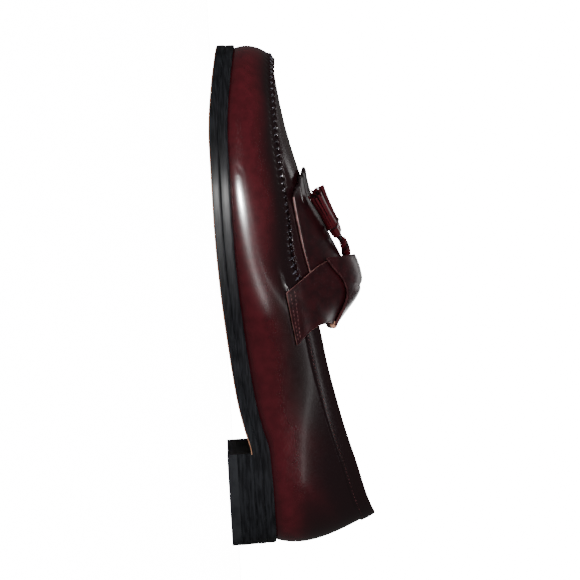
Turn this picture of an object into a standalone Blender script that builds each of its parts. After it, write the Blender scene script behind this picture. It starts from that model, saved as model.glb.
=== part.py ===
"""A right tassel loafer with a fringed flap, built as separate leather pieces.

Working coordinates are millimetres: x forward from the back of the heel,
y to the shoe's left, which is its inner side, and z up from the floor.
"""

import math

import bmesh
import bpy
import numpy as np
from mathutils import Vector
from mathutils.bvhtree import BVHTree

# Main sizes in millimetres
WALL = 2.0
CLEAR = 0.3
SEAT_CLEAR = 0.45
SOLE_INSET = 2.0
OUTSOLE_THICK = 5.0
MIDSOLE_THICK = 4.8
INSOLE_THICK = 2.2
HEEL_BREAST_X = 57.0
HEEL_BREAST_HOLLOW = 2.5
TOP_PIECE_THICK = 5.5
LIFT_THICK = 3.7
EDGE_ROUND = 0.7

SEAM_RIDGE = 1.2
COLLAR_STEP = 0.8
COLLAR_WIDTH = 8.8

FLAP_THICK = 1.6
FLAP_CLEAR = 0.55
FRINGE_LIFT = 1.2
FLAP_FRONT_X = 219.5
FLAP_REAR_X = 129.5
FLAP_FRONT_SWEEP = 18.0
FLAP_MARGIN = 4.2
FLAP_REAR_TAPER = 3.5
FRINGE_LENGTH = 13.0
FRINGE_STRIPS = 11
FRINGE_SLIT = 0.9

STRAP_THICK = 2.1
STRAP_END_RISE = 0.1
KEEPER_THICK = 1.7

TASSEL_RADIUS = 4.7
TASSEL_FLATTEN = 0.86
TASSEL_STRIPS = 11
LACE_RADIUS = 1.6

STEPS_PER_STATION = 2

# One row per station from heel to toe. The sole edge and the upper's top edge
# share a row, so each pair of points is joined by one rib of the upper.
STATION_COLUMNS = (
    "edge_x", "edge_in", "edge_out", "top_x", "top_in", "top_out", "top_z",
    "out_low", "up_low", "out_high", "down_high",
)
HEEL_ROW = (0.0, 0.0, 0.0, 13.0, 0.0, 0.0, 84.1, 7.0, 18.0, 9.5, 22.0)
TOE_ROW = (294.8, 3.8, 3.8, 287.4, 3.0, 3.0, 39.4, 3.4, 9.0, 4.6, 3.6)
STATIONS = (
    (2.5, 13.0, -13.0, 14.6, 8.5, -8.5, 83.5, 6.6, 18.0, 8.5, 21.0),
    (9.0, 22.5, -22.5, 20.0, 14.8, -14.8, 80.8, 5.6, 18.0, 7.0, 19.0),
    (20.0, 29.0, -29.5, 29.0, 19.5, -19.5, 77.4, 4.6, 17.0, 5.5, 17.0),
    (38.0, 33.0, -33.5, 44.0, 23.0, -23.0, 73.4, 3.8, 16.0, 4.2, 16.0),
    (60.0, 32.5, -34.2, 62.0, 25.2, -25.6, 68.3, 4.2, 14.0, 3.6, 15.0),
    (85.0, 29.5, -36.0, 85.0, 26.8, -28.2, 62.8, 5.6, 13.0, 3.4, 14.0),
    (110.0, 27.5, -39.0, 109.0, 27.8, -30.2, 58.2, 6.8, 12.0, 3.2, 13.0),
    (135.0, 29.5, -44.0, 131.0, 28.2, -31.0, 54.0, 7.0, 11.0, 3.2, 12.0),
    (160.0, 36.0, -49.0, 156.0, 28.8, -31.8, 44.3, 6.0, 9.5, 4.6, 9.0),
    (185.0, 45.0, -51.8, 182.0, 31.6, -33.6, 41.9, 5.0, 9.0, 6.8, 5.0),
    (210.0, 51.2, -51.0, 207.0, 34.0, -34.0, 39.6, 4.2, 9.0, 8.0, 3.0),
    (232.0, 50.8, -47.8, 229.0, 34.0, -32.0, 37.5, 4.0, 9.0, 8.0, 2.4),
    (252.0, 47.6, -42.4, 249.0, 32.2, -29.2, 37.0, 3.8, 9.0, 7.4, 2.4),
    (269.0, 41.4, -34.6, 266.0, 28.2, -23.4, 37.2, 3.6, 9.0, 6.4, 2.6),
    (282.0, 31.8, -24.6, 278.4, 21.6, -16.0, 38.2, 3.4, 9.0, 5.4, 3.0),
    (290.8, 19.2, -11.8, 285.2, 12.8, -6.8, 39.1, 3.4, 9.0, 4.8, 3.4),
)
THROAT_STATION = 8
REACH_STATION = 7
THROAT_X = 128.0
REACH_X = 108.0
THROAT_BOW = 2.0

# Sole line along the length: walking surface of the outsole
SOLE_COLUMNS = ("x", "bottom_z")
SOLE_LINE = (
    (-5.0, 15.1), (57.0, 13.4), (70.0, 10.4), (85.0, 7.4), (105.0, 5.0),
    (121.0, 3.5), (140.0, 1.9), (157.0, 0.9), (172.0, 0.3), (188.0, 0.0),
    (228.0, 0.0), (240.0, 0.6), (259.0, 2.7), (275.0, 5.0), (295.0, 8.0),
)

# Top panel of the upper: ridge line, seam line and half width
PANEL_COLUMNS = ("x", "ridge_z", "seam_z", "middle_y", "half_width")
PANEL = (
    (100.0, 57.5, 57.5, 0.0, 29.0),
    (118.0, 60.5, 56.4, 0.0, 29.0),
    (128.0, 63.6, 55.2, 0.0, 29.2),
    (133.0, 67.0, 52.8, 0.0, 29.4),
    (139.0, 71.5, 50.0, 0.0, 29.6),
    (145.0, 75.5, 47.5, 0.0, 29.8),
    (151.0, 77.7, 45.6, 0.0, 30.0),
    (158.0, 76.1, 44.0, 0.0, 30.4),
    (167.0, 72.3, 42.8, 0.0, 31.2),
    (178.0, 67.2, 42.1, 0.2, 32.2),
    (192.0, 61.4, 41.1, 0.5, 33.2),
    (205.0, 56.4, 39.7, 0.8, 34.0),
    (220.0, 52.0, 38.2, 1.1, 33.8),
    (238.0, 47.5, 37.0, 1.5, 31.6),
    (249.0, 45.3, 36.9, 1.6, 30.6),
    (261.0, 43.5, 36.8, 2.1, 29.0),
    (275.0, 41.6, 36.6, 2.6, 27.0),
    (290.0, 39.2, 36.0, 3.0, 26.0),
)

# Strap edges and their height over the upper, by angle from the top
STRAP_COLUMNS = ("angle", "rear_x", "front_x", "low", "lift")
STRAP = (
    (0.0, 127.6, 162.0, 2.5, 3.2),
    (20.0, 127.6, 162.0, 2.5, 2.4),
    (40.0, 127.6, 161.5, 2.5, 1.0),
    (55.0, 127.0, 158.0, 2.4, 0.0),
    (66.0, 124.5, 154.0, 3.0, 0.0),
    (75.0, 121.0, 150.5, 2.8, 0.0),
    (82.0, 118.0, 147.5, 1.9, 0.0),
    (90.0, 115.5, 144.5, 0.9, 0.0),
)
STRAP_AXIS_Z = 38.0

# Keeper tab over the strap: half angle by position
KEEPER_COLUMNS = ("x", "half_angle")
KEEPER = (
    (127.2, 23.0), (134.0, 21.0), (143.0, 22.0), (150.0, 28.0),
    (156.0, 37.0), (162.6, 45.0),
)

# Tassels: the cap end and the skirt end of each axis
TASSEL_NEAR = ((177.6, 10.5, 72.4), (201.0, 24.4, 58.6))
TASSEL_FAR = ((180.5, -1.5, 74.4), (208.5, 0.5, 63.1))


def table_column(table, columns, name, x):
    """Reads one column at x with a smooth curve that never overshoots."""
    rows = np.array(table, dtype=float)
    xs = rows[:, 0]
    ys = rows[:, columns.index(name)]
    steps = np.diff(xs)
    slopes = np.diff(ys) / steps
    tangents = np.zeros(len(xs))
    tangents[0] = slopes[0]
    tangents[-1] = slopes[-1]
    for i in range(1, len(xs) - 1):
        if slopes[i - 1] * slopes[i] > 0.0:
            wide = 2.0 * steps[i] + steps[i - 1]
            narrow = steps[i] + 2.0 * steps[i - 1]
            tangents[i] = (wide + narrow) / (wide / slopes[i - 1] + narrow / slopes[i])
    at = float(np.clip(x, xs[0], xs[-1]))
    i = int(np.clip(np.searchsorted(xs, at) - 1, 0, len(steps) - 1))
    t = (at - xs[i]) / steps[i]
    return float(
        (1.0 + 2.0 * t) * (1.0 - t) ** 2 * ys[i]
        + t * (1.0 - t) ** 2 * steps[i] * tangents[i]
        + t * t * (3.0 - 2.0 * t) * ys[i + 1]
        + t * t * (t - 1.0) * steps[i] * tangents[i + 1]
    )


def ease(value, start, end):
    """Smooth step from 0 at start to 1 at end."""
    t = min(max((value - start) / (end - start), 0.0), 1.0)
    return t * t * (3.0 - 2.0 * t)


def outsole_bottom(x):
    return table_column(SOLE_LINE, SOLE_COLUMNS, "bottom_z", x)


def midsole_bottom(x):
    return outsole_bottom(x) + OUTSOLE_THICK + CLEAR


def feather_z(x):
    """Top of the midsole, where the upper and the insole rest."""
    return midsole_bottom(x) + MIDSOLE_THICK


def panel_z(x, y):
    """Height of the top panel over the floor at one plan point."""
    ridge = table_column(PANEL, PANEL_COLUMNS, "ridge_z", x)
    seam = table_column(PANEL, PANEL_COLUMNS, "seam_z", x)
    middle = table_column(PANEL, PANEL_COLUMNS, "middle_y", x)
    half = table_column(PANEL, PANEL_COLUMNS, "half_width", x)
    return ridge - (ridge - seam) * (abs(y - middle) / half) ** 2


class Ring:
    """The shoe's outline and its ribs, sampled all the way round."""

    def __init__(self, steps):
        inner = [self.side(row, "in") for row in STATIONS]
        outer = [self.side(row, "out") for row in reversed(STATIONS)]
        knots = [self.side(HEEL_ROW, "in"), *inner, self.side(TOE_ROW, "in"), *outer]
        values = np.array(knots)
        closed = np.vstack([values, values[:1]])
        lengths = np.linalg.norm(np.diff(closed[:, :2], axis=0), axis=1)
        self.rows = self.spline(values, lengths, steps)
        self.count = len(self.rows)
        self.steps = steps
        self.toe = self.count // 2

    @staticmethod
    def side(row, name):
        """One station as edge x, y, top x, y, z and the rib's four handles."""
        cell = dict(zip(STATION_COLUMNS, row))
        return (
            cell["edge_x"], cell["edge_" + name], cell["top_x"], cell["top_" + name],
            cell["top_z"], cell["out_low"], cell["up_low"], cell["out_high"],
            cell["down_high"],
        )

    @staticmethod
    def spline(values, lengths, steps):
        """Closed cubic spline through the stations, with steps per station."""
        n = len(values)
        matrix = np.zeros((n, n))
        right = np.zeros_like(values)
        for i in range(n):
            before = lengths[i - 1]
            after = lengths[i]
            matrix[i, i - 1] += before
            matrix[i, i] += 2.0 * (before + after)
            matrix[i, (i + 1) % n] += after
            rise_after = (values[(i + 1) % n] - values[i]) / after
            rise_before = (values[i] - values[i - 1]) / before
            right[i] = 6.0 * (rise_after - rise_before)
        bend = np.linalg.solve(matrix, right)
        rows = []
        for i in range(n):
            h = lengths[i]
            following = (i + 1) % n
            for k in range(steps):
                b = k / steps
                a = 1.0 - b
                rows.append(
                    a * values[i] + b * values[following]
                    + ((a ** 3 - a) * bend[i] + (b ** 3 - b) * bend[following]) * h * h / 6.0
                )
        return np.array(rows)

    def station(self, number, side):
        """Ray of a numbered station on the inner or the outer side."""
        ray = number * self.steps
        return ray if side > 0 else self.count - ray

    def outline(self, inset):
        """Plan points of the sole edge, moved inward by inset."""
        edge = self.rows[:, :2]
        ahead = np.roll(edge, -1, axis=0) - np.roll(edge, 1, axis=0)
        outward = -np.stack([-ahead[:, 1], ahead[:, 0]], axis=1)
        outward /= np.linalg.norm(outward, axis=1)[:, None]
        outward *= self.sense(edge)
        return edge - outward * inset, outward

    @staticmethod
    def sense(edge):
        """1 or -1 so that the outline's normals point outward."""
        following = np.roll(edge, -1, axis=0)
        area = np.sum(edge[:, 0] * following[:, 1] - following[:, 0] * edge[:, 1])
        return 1.0 if area > 0 else -1.0

    def rib(self, ray, fine=72):
        """Points up one rib from the feather line to the top edge."""
        points, outward = self.outline(SOLE_INSET)
        cell = self.rows[ray]
        out = np.array([outward[ray][0], outward[ray][1], 0.0])
        up = np.array([0.0, 0.0, 1.0])
        foot = np.array([points[ray][0], points[ray][1], 0.0])
        foot[2] = feather_z(foot[0]) + CLEAR
        top = np.array([cell[2], cell[3], cell[4]])
        low = foot + out * cell[5] + up * cell[6]
        high = top + out * cell[7] - up * cell[8]
        t = np.linspace(0.0, 1.0, fine)[:, None]
        return (
            (1 - t) ** 3 * foot + 3 * (1 - t) ** 2 * t * low
            + 3 * (1 - t) * t ** 2 * high + t ** 3 * top
        )


def along(points, distance):
    """Point at a distance from the end of a polyline."""
    lengths = np.linalg.norm(np.diff(points, axis=0), axis=1)
    reach = np.concatenate([[0.0], np.cumsum(lengths)])
    at = reach[-1] - distance
    return np.array([np.interp(at, reach, points[:, axis]) for axis in range(3)])


class Skin:
    """An open sheet of faces from which a solid of real thickness is made."""

    def __init__(self):
        self.points = []
        self.faces = []
        self.lookup = {}
        self.raised = {}
        self.level = set()

    def add(self, point, raised=0.0, level=False):
        """Adds one point, or finds it again, and returns its number."""
        key = tuple(round(float(c), 3) for c in point)
        if key not in self.lookup:
            self.lookup[key] = len(self.points)
            self.points.append(np.array(point, dtype=float))
        number = self.lookup[key]
        self.raised[number] = max(raised, self.raised.get(number, 0.0))
        if level:
            self.level.add(number)
        return number

    def face(self, *numbers):
        """Adds one face, leaving out points that repeat."""
        kept = [n for i, n in enumerate(numbers) if n != numbers[i - 1]]
        if len(set(kept)) == len(kept) and len(kept) > 2:
            self.faces.append(tuple(kept))

    def grid(self, rows, keep=lambda row, column: True):
        """Adds the faces between rows of numbered points."""
        for r in range(len(rows) - 1):
            for c in range(len(rows[r]) - 1):
                if keep(r, c):
                    self.face(rows[r][c], rows[r][c + 1], rows[r + 1][c + 1], rows[r + 1][c])

    def face_up(self):
        """Turns the sheet over where its faces look down."""
        if float(np.sum(self.normals()[:, 2])) < 0.0:
            self.faces = [tuple(reversed(face)) for face in self.faces]

    def normals(self):
        """Outward direction at each point, averaged over its faces."""
        total = np.zeros((len(self.points), 3))
        for face in self.faces:
            first = self.points[face[0]]
            area = np.zeros(3)
            for a, b in zip(face[1:-1], face[2:]):
                area += np.cross(self.points[a] - first, self.points[b] - first)
            for number in face:
                total[number] += area
        for number in self.level:
            total[number][2] = 0.0
        size = np.linalg.norm(total, axis=1)
        size[size == 0.0] = 1.0
        return total / size[:, None]

    def solid(self, low, high):
        """Closed body between two heights over the sheet."""
        normals = self.normals()
        used = sorted({n for face in self.faces for n in face})
        place = {n: i for i, n in enumerate(used)}
        count = len(used)
        lows = [low(n) if callable(low) else low for n in used]
        highs = [high(n) if callable(high) else high for n in used]
        outer = [self.points[n] + normals[n] * h for n, h in zip(used, highs)]
        inner = [self.points[n] + normals[n] * h for n, h in zip(used, lows)]
        faces = [tuple(place[n] for n in face) for face in self.faces]
        faces += [tuple(place[n] + count for n in reversed(face)) for face in self.faces]
        edges = {}
        for face in self.faces:
            for a, b in zip(face, face[1:] + face[:1]):
                edges[(a, b)] = edges.get((a, b), 0) + 1
        for a, b in edges:
            if (b, a) not in edges:
                i, j = place[a], place[b]
                faces.append((j, i, i + count, j + count))
        return outer + inner, faces


def upper_skin(ring, throat_station, throat_x, panel_rows):
    """Outer face of the upper, from the feather line to collar and throat."""
    skin = Skin()
    first = ring.station(throat_station, 1)
    last = ring.station(throat_station, -1)
    wall = []
    for ray in range(ring.count + 1):
        number = ray % ring.count
        rib = ring.rib(number)
        length = float(np.sum(np.linalg.norm(np.diff(rib, axis=0), axis=1)))
        inward = min(abs(ray - first), abs(ray - last)) if first <= ray <= last else 0
        front = ease(inward / ring.steps, 0.3, 1.8)
        near = COLLAR_WIDTH + 0.8 + (4.6 - COLLAR_WIDTH - 0.8) * front
        heights = [(length - (length - near) * share, 0.0)
                   for share in (0.0, 0.13, 0.28, 0.44, 0.6, 0.8)]
        heights.append((near, 0.0))
        heights.append((COLLAR_WIDTH + (2.8 - COLLAR_WIDTH) * front,
                        COLLAR_STEP + (0.3 - COLLAR_STEP) * front))
        heights.append((4.0 + (1.2 - 4.0) * front,
                        COLLAR_STEP + (SEAM_RIDGE - 0.1 - COLLAR_STEP) * front))
        heights.append((0.0, COLLAR_STEP + (SEAM_RIDGE - COLLAR_STEP) * front))
        column = [skin.add(along(rib, d), lift, d == length) for d, lift in heights]
        wall.append(column)
    skin.grid([list(row) for row in zip(*wall)])
    add_panel(skin, ring, first, last, throat_x, panel_rows)
    skin.face_up()
    return skin


def add_panel(skin, ring, first, last, throat_x, panel_rows):
    """Top panel as rays that run from the seam back to the throat."""
    tops = [ring.rib(ray)[-1] for ray in range(first, last + 1)]
    lengths = np.linalg.norm(np.diff(np.array(tops)[:, :2], axis=0), axis=1)
    share = np.concatenate([[0.0], np.cumsum(lengths)]) / np.sum(lengths)
    rays = []
    for top, part in zip(tops, share):
        reach = 1.0 if 0.0 < part < 1.0 else 0.0
        end_y = tops[0][1] + (tops[-1][1] - tops[0][1]) * part
        bow = THROAT_BOW * (1.0 - (2.0 * part - 1.0) ** 2)
        corner_x = tops[0][0]
        end_x = corner_x + (throat_x - corner_x) * ease(min(part, 1.0 - part), 0.0, 0.12) - bow
        end = np.array([end_x, end_y])
        span = float(np.linalg.norm(end - top[:2])) * reach
        misfit = top[2] - panel_z(top[0], top[1])
        scale = min(1.0, span / 14.0)
        marks = [(0.0, SEAM_RIDGE), (1.3 * scale, SEAM_RIDGE * 0.8), (3.2 * scale, 0.0)]
        crowding = 1.0 + 0.8 * ease(span, 30.0, 150.0)
        for k in range(1, panel_rows + 1):
            left = (1.0 - k / panel_rows) ** crowding
            marks.append((span - (span - 3.2 * scale) * left, 0.0))
        strength = ease(min(part, 1.0 - part), 0.0, 0.1)
        column = []
        for distance, lift in marks:
            f = distance / span if span > 0.0 else 0.0
            spot = top[:2] + (end - top[:2]) * f
            z = panel_z(spot[0], spot[1]) + misfit * (1.0 - f) ** 3
            height = top[2] if f == 0.0 else z
            column.append(skin.add((spot[0], spot[1], height), lift * strength))
        rays.append(column)
    skin.grid([list(row) for row in zip(*rays)])


class Form:
    """The upper's outer face, drawn out to the rear, to lay pieces on."""

    def __init__(self):
        skin = upper_skin(Ring(9), REACH_STATION, REACH_X, 44)
        points = [Vector(p) for p in skin.points]
        self.tree = BVHTree.FromPolygons(points, skin.faces)

    def above(self, x, y):
        """Point of the form straight above one plan point."""
        hit = self.tree.ray_cast(Vector((x, y, 200.0)), Vector((0.0, 0.0, -1.0)))[0]
        return np.array(hit)

    def around(self, x, angle):
        """Point of the form at an angle from the top, in degrees."""
        turn = math.radians(angle)
        way = Vector((0.0, math.sin(turn), math.cos(turn)))
        hit = self.tree.ray_cast(Vector((x, 0.0, STRAP_AXIS_Z)), way)[0]
        return np.array(hit)


def leather(name, colour, roughness):
    material = bpy.data.materials.new(name)
    material.use_nodes = True
    shader = material.node_tree.nodes["Principled BSDF"]
    shader.inputs["Base Color"].default_value = (*colour, 1.0)
    shader.inputs["Roughness"].default_value = roughness
    return material


def make(name, points, faces, material, sharp=38.0):
    """Turns points in millimetres into one named object in metres."""
    mesh = bpy.data.meshes.new(name)
    mesh.from_pydata([tuple(p * 0.001) for p in points], [], faces)
    work = bmesh.new()
    work.from_mesh(mesh)
    bmesh.ops.recalc_face_normals(work, faces=work.faces)
    work.to_mesh(mesh)
    work.free()
    mesh.shade_smooth()
    mesh.set_sharp_from_angle(angle=math.radians(sharp))
    mesh.materials.append(material)
    thing = bpy.data.objects.new(name, mesh)
    bpy.context.scene.collection.objects.link(thing)
    return thing


def plate(name, ring, inset, bottom, top, material, rounding):
    """A sole layer between two height curves, with rounded edges."""
    levels = (
        (inset + rounding, bottom, 0.0),
        (inset, bottom, rounding),
        (inset, top, -rounding),
        (inset + rounding, top, 0.0),
    )
    points = []
    for edge_inset, height, shift in levels:
        outline, _ = ring.outline(edge_inset)
        points += [np.array([x, y, height(x) + shift]) for x, y in outline]
    n = ring.count
    faces = []
    for level in range(len(levels) - 1):
        for i in range(n):
            j = (i + 1) % n
            faces.append((level * n + i, level * n + j, (level + 1) * n + j, (level + 1) * n + i))
    top_start = (len(levels) - 1) * n
    for i in range(ring.toe):
        pair = [i, i + 1, (n - i - 1) % n, (n - i) % n]
        kept = list(dict.fromkeys(pair))
        faces.append(tuple(reversed(kept)))
        faces.append(tuple(top_start + k for k in kept))
    return make(name, points, faces, material)


def heel_outline(ring, inset):
    """Plan outline of the heel block, with its hollowed front face."""
    outline, _ = ring.outline(inset)
    inner = []
    outer = []
    for i in range(1, ring.toe):
        inner.append(outline[i])
        outer.append(outline[ring.count - i])
    sides = []
    for side in (inner, outer):
        kept = [p for p in side if p[0] < HEEL_BREAST_X - 0.5]
        after = side[len(kept)]
        share = (HEEL_BREAST_X - kept[-1][0]) / (after[0] - kept[-1][0])
        kept.append(kept[-1] + (after - kept[-1]) * share)
        sides.append(kept)
    start = sides[0][-1]
    end = sides[1][-1]
    breast = []
    for k in range(1, 10):
        f = k / 10.0
        spot = start + (end - start) * f
        hollow = HEEL_BREAST_HOLLOW * (1.0 - (2.0 * f - 1.0) ** 2)
        breast.append(np.array([spot[0] - hollow, spot[1]]))
    return [outline[0], *sides[0], *breast, *reversed(sides[1])]


def heel_layer(name, ring, bottom, top, material, inset=0.0):
    """One layer of the heel block."""
    low = heel_outline(ring, inset + 0.3)
    mid = heel_outline(ring, inset)
    n = len(mid)
    points = [np.array([p[0], p[1], bottom(p[0])]) for p in low]
    points += [np.array([p[0], p[1], bottom(p[0]) + 0.4]) for p in mid]
    points += [np.array([p[0], p[1], top(p[0]) - 0.4]) for p in mid]
    points += [np.array([p[0], p[1], top(p[0])]) for p in low]
    faces = [tuple(reversed(range(n))), tuple(range(3 * n, 4 * n))]
    for level in range(3):
        for i in range(n):
            j = (i + 1) % n
            faces.append((level * n + i, level * n + j, (level + 1) * n + j, (level + 1) * n + i))
    return make(name, points, faces, material)


def fringed_flap(form, material):
    """The flap that lies over the panel, slit into strips at its front."""
    columns = []
    for strip in range(FRINGE_STRIPS):
        width = 2.0 / FRINGE_STRIPS
        left = -1.0 + strip * width
        slit = FRINGE_SLIT / 60.0
        columns += [left + slit, left + width - slit]
    columns[0] = -1.0
    columns[-1] = 1.0
    rows = 21
    fringe_rows = 3
    skin = Skin()
    grid = []
    lifts = {}
    for r in range(rows + 1):
        line = []
        for c, across in enumerate(columns):
            front = FLAP_FRONT_X - FLAP_FRONT_SWEEP * across ** 2 * (0.75 + 0.25 * across ** 2)
            if r <= fringe_rows:
                tip = 1.2 if (r == 0 and c % 4 == 1) else 0.0
                x = front - tip - (FRINGE_LENGTH - tip) * r / fringe_rows
            else:
                root = front - FRINGE_LENGTH
                x = root + (FLAP_REAR_X - root) * (r - fringe_rows) / (rows - fringe_rows)
            margin = FLAP_MARGIN + FLAP_REAR_TAPER * ease(152.0 - x, 0.0, 16.0)
            half = table_column(PANEL, PANEL_COLUMNS, "half_width", x) - margin
            middle = table_column(PANEL, PANEL_COLUMNS, "middle_y", x)
            number = skin.add(form.above(x, middle + across * half))
            lifts[number] = FLAP_CLEAR + FRINGE_LIFT * ease(x, 195.0, FLAP_FRONT_X)
            line.append(number)
        grid.append(line)
    skin.grid(grid, keep=lambda r, c: r >= fringe_rows or c % 2 == 0)
    skin.face_up()
    points, faces = skin.solid(lambda n: lifts[n], lambda n: lifts[n] + FLAP_THICK)
    return make("fringed_flap", points, faces, material)


def strap_patch(form):
    """Points of the saddle strap on the form, with their lift."""
    skin = Skin()
    lifts = {}
    grid = []
    angles = [-90.0 + 180.0 * k / 32.0 for k in range(33)]
    for angle in angles:
        cell = {name: table_column(STRAP, STRAP_COLUMNS, name, abs(angle))
                for name in STRAP_COLUMNS}
        line = []
        for k in range(8):
            f = k / 7.0
            x = cell["rear_x"] + (cell["front_x"] - cell["rear_x"]) * f
            slant = STRAP_END_RISE * (1.0 - f) * (abs(angle) / 90.0) ** 8
            number = skin.add(form.around(x, angle * (1.0 - slant)))
            lifts[number] = cell["low"] + cell["lift"] * ease(f, 0.0, 1.0)
            line.append(number)
        grid.append(line)
    skin.grid(grid)
    skin.face_up()
    return skin, lifts


def saddle_strap(form, material):
    """The band over the instep, from side to side."""
    skin, lifts = strap_patch(form)
    points, faces = skin.solid(lambda n: lifts[n], lambda n: lifts[n] + STRAP_THICK)
    return make("saddle_strap", points, faces, material)


def keeper_tab(form, material):
    """The tab laid lengthwise over the strap, turned down at both ends."""
    skin = Skin()
    lifts = {}
    grid = []
    xs = [127.2, 130.5, 134.0, 138.0, 142.0, 146.0, 150.0, 153.0, 156.0, 159.0, 162.6]
    for x in xs:
        half = table_column(KEEPER, KEEPER_COLUMNS, "half_angle", x)
        line = []
        for k in range(13):
            angle = half * (k / 6.0 - 1.0)
            number = skin.add(form.around(x, angle))
            rise = table_column(STRAP, STRAP_COLUMNS, "lift", abs(angle))
            low = table_column(STRAP, STRAP_COLUMNS, "low", abs(angle))
            width = (x - 127.6) / (162.0 - 127.6)
            lifts[number] = low + rise * ease(width, 0.0, 1.0) + STRAP_THICK + SEAT_CLEAR + 0.1
            line.append(number)
        grid.append(line)
    skin.grid(grid)
    skin.face_up()
    points, faces = skin.solid(lambda n: lifts[n], lambda n: lifts[n] + KEEPER_THICK)
    return make("keeper_tab", points, faces, material)


def tassel(name, ends, material):
    """A tassel: cap, ring and a skirt of strips fused side by side."""
    root, tip = (np.array(end) for end in ends)
    axis = tip - root
    length = float(np.linalg.norm(axis))
    axis /= length
    side = np.cross(np.array([0.0, 0.0, 1.0]), axis)
    side /= np.linalg.norm(side)
    up = np.cross(axis, side)
    full = TASSEL_RADIUS
    profile = (
        (0.0, 0.5, 0.0), (0.6, 0.64, 0.0), (6.4, 0.8, 0.0), (6.8, 0.98, 0.0),
        (8.2, 0.98, 0.0), (8.6, 0.86, 0.0), (14.0, 0.96, 0.8), (length, 1.05, 1.0),
    )
    around = TASSEL_STRIPS * 3
    points = []
    for reach, size, lobe in profile:
        for k in range(around):
            turn = 2.0 * math.pi * k / around
            groove = 0.18 * lobe if k % 3 == 0 else 0.0
            uneven = 0.9 * math.sin(2.4 * (k // 3)) if reach == length else 0.0
            radius = full * size * (1.0 - groove)
            points.append(
                root + axis * (reach + uneven)
                + side * radius * math.cos(turn) + up * radius * TASSEL_FLATTEN * math.sin(turn)
            )
    faces = []
    for level in range(len(profile) - 1):
        for k in range(around):
            j = (k + 1) % around
            faces.append((level * around + k, level * around + j,
                          (level + 1) * around + j, (level + 1) * around + k))
    points.append(root - axis * 0.2)
    points.append(root + axis * (length - 1.2))
    last = (len(profile) - 1) * around
    for k in range(around):
        j = (k + 1) % around
        faces.append((len(points) - 2, j, k))
        faces.append((len(points) - 1, last + k, last + j))
    return make(name, points, faces, material, sharp=32.0)


def lace_loop(material):
    """The lace that runs from one tassel cap through its knot to the other."""
    near = np.array(TASSEL_NEAR[0])
    far = np.array(TASSEL_FAR[0])
    path = [
        (near + np.array([-0.7, 0.0, 0.4]), 1.0),
        (np.array([174.6, 8.8, 74.6]), 1.0),
        (np.array([171.8, 6.4, 75.9]), 1.15),
        (np.array([169.0, 4.2, 76.8]), 1.4),
        (np.array([167.2, 1.4, 77.3]), 1.5),
        (np.array([168.8, -0.9, 77.4]), 1.4),
        (np.array([172.4, -1.6, 77.2]), 1.15),
        (np.array([176.4, -1.6, 76.4]), 1.0),
        (far + np.array([-0.7, 0.0, 0.4]), 1.0),
    ]
    centres = np.array([p for p, _ in path])
    around = 10
    points = []
    for i, (centre, size) in enumerate(path):
        ahead = centres[min(i + 1, len(path) - 1)] - centres[max(i - 1, 0)]
        ahead /= np.linalg.norm(ahead)
        side = np.array([0.0, 0.0, 1.0])
        side = side - ahead * np.dot(side, ahead)
        side /= np.linalg.norm(side)
        other = np.cross(ahead, side)
        for k in range(around):
            turn = 2.0 * math.pi * k / around
            points.append(centre + LACE_RADIUS * size
                          * (side * 0.8 * math.cos(turn) + other * math.sin(turn)))
    faces = []
    for level in range(len(path) - 1):
        for k in range(around):
            j = (k + 1) % around
            faces.append((level * around + k, level * around + j,
                          (level + 1) * around + j, (level + 1) * around + k))
    faces.append(tuple(reversed(range(around))))
    faces.append(tuple(range((len(path) - 1) * around, len(path) * around)))
    return make("tassel_lace", points, faces, material)


def centre_on_floor(things):
    """Puts the middle of the shoe's plan over the origin."""
    spots = np.array([vertex.co for thing in things for vertex in thing.data.vertices])
    middle = (spots.min(axis=0) + spots.max(axis=0)) / 2.0
    shift = Vector((-middle[0], -middle[1], 0.0))
    for thing in things:
        for vertex in thing.data.vertices:
            vertex.co += shift


def main():
    for thing in list(bpy.data.objects):
        bpy.data.objects.remove(thing, do_unlink=True)
    burgundy = leather("burgundy leather", (0.13, 0.014, 0.022), 0.32)
    dark = leather("dark edge leather", (0.03, 0.034, 0.04), 0.45)
    natural = leather("natural sole leather", (0.45, 0.25, 0.15), 0.6)
    rubber = leather("heel rubber", (0.02, 0.02, 0.022), 0.7)

    ring = Ring(STEPS_PER_STATION)
    skin = upper_skin(ring, THROAT_STATION, THROAT_X, 9)
    points, faces = skin.solid(-WALL, lambda n: skin.raised[n])
    make("upper", points, faces, burgundy)

    plate("outsole", ring, 0.0, outsole_bottom,
          lambda x: outsole_bottom(x) + OUTSOLE_THICK, natural, EDGE_ROUND)
    plate("midsole", ring, 0.2, midsole_bottom, feather_z, dark, EDGE_ROUND * 0.7)
    plate("insole", ring, SOLE_INSET + WALL + 0.5, lambda x: feather_z(x) + CLEAR,
          lambda x: feather_z(x) + CLEAR + INSOLE_THICK, natural, 0.3)

    top_piece_top = TOP_PIECE_THICK
    lift_low = top_piece_top + CLEAR
    lift_high = lift_low + LIFT_THICK
    heel_layer("heel_top_piece", ring, lambda x: 0.0, lambda x: top_piece_top, rubber)
    heel_layer("heel_lift_lower", ring, lambda x: lift_low, lambda x: lift_high, dark)
    heel_layer("heel_lift_upper", ring, lambda x: lift_high + CLEAR,
               lambda x: outsole_bottom(x) - CLEAR, dark)

    form = Form()
    fringed_flap(form, burgundy)
    saddle_strap(form, burgundy)
    keeper_tab(form, burgundy)
    tassel("tassel_near", TASSEL_NEAR, burgundy)
    tassel("tassel_far", TASSEL_FAR, burgundy)
    lace_loop(burgundy)
    centre_on_floor(list(bpy.data.objects))


main()
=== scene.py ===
"""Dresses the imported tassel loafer: leather, seams, stitches, tassels and edges.

Sizes are millimetres in the shoe's own axes: x forward from the back of the
heel, y to the inner side of the foot, z up from the floor.
"""

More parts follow.
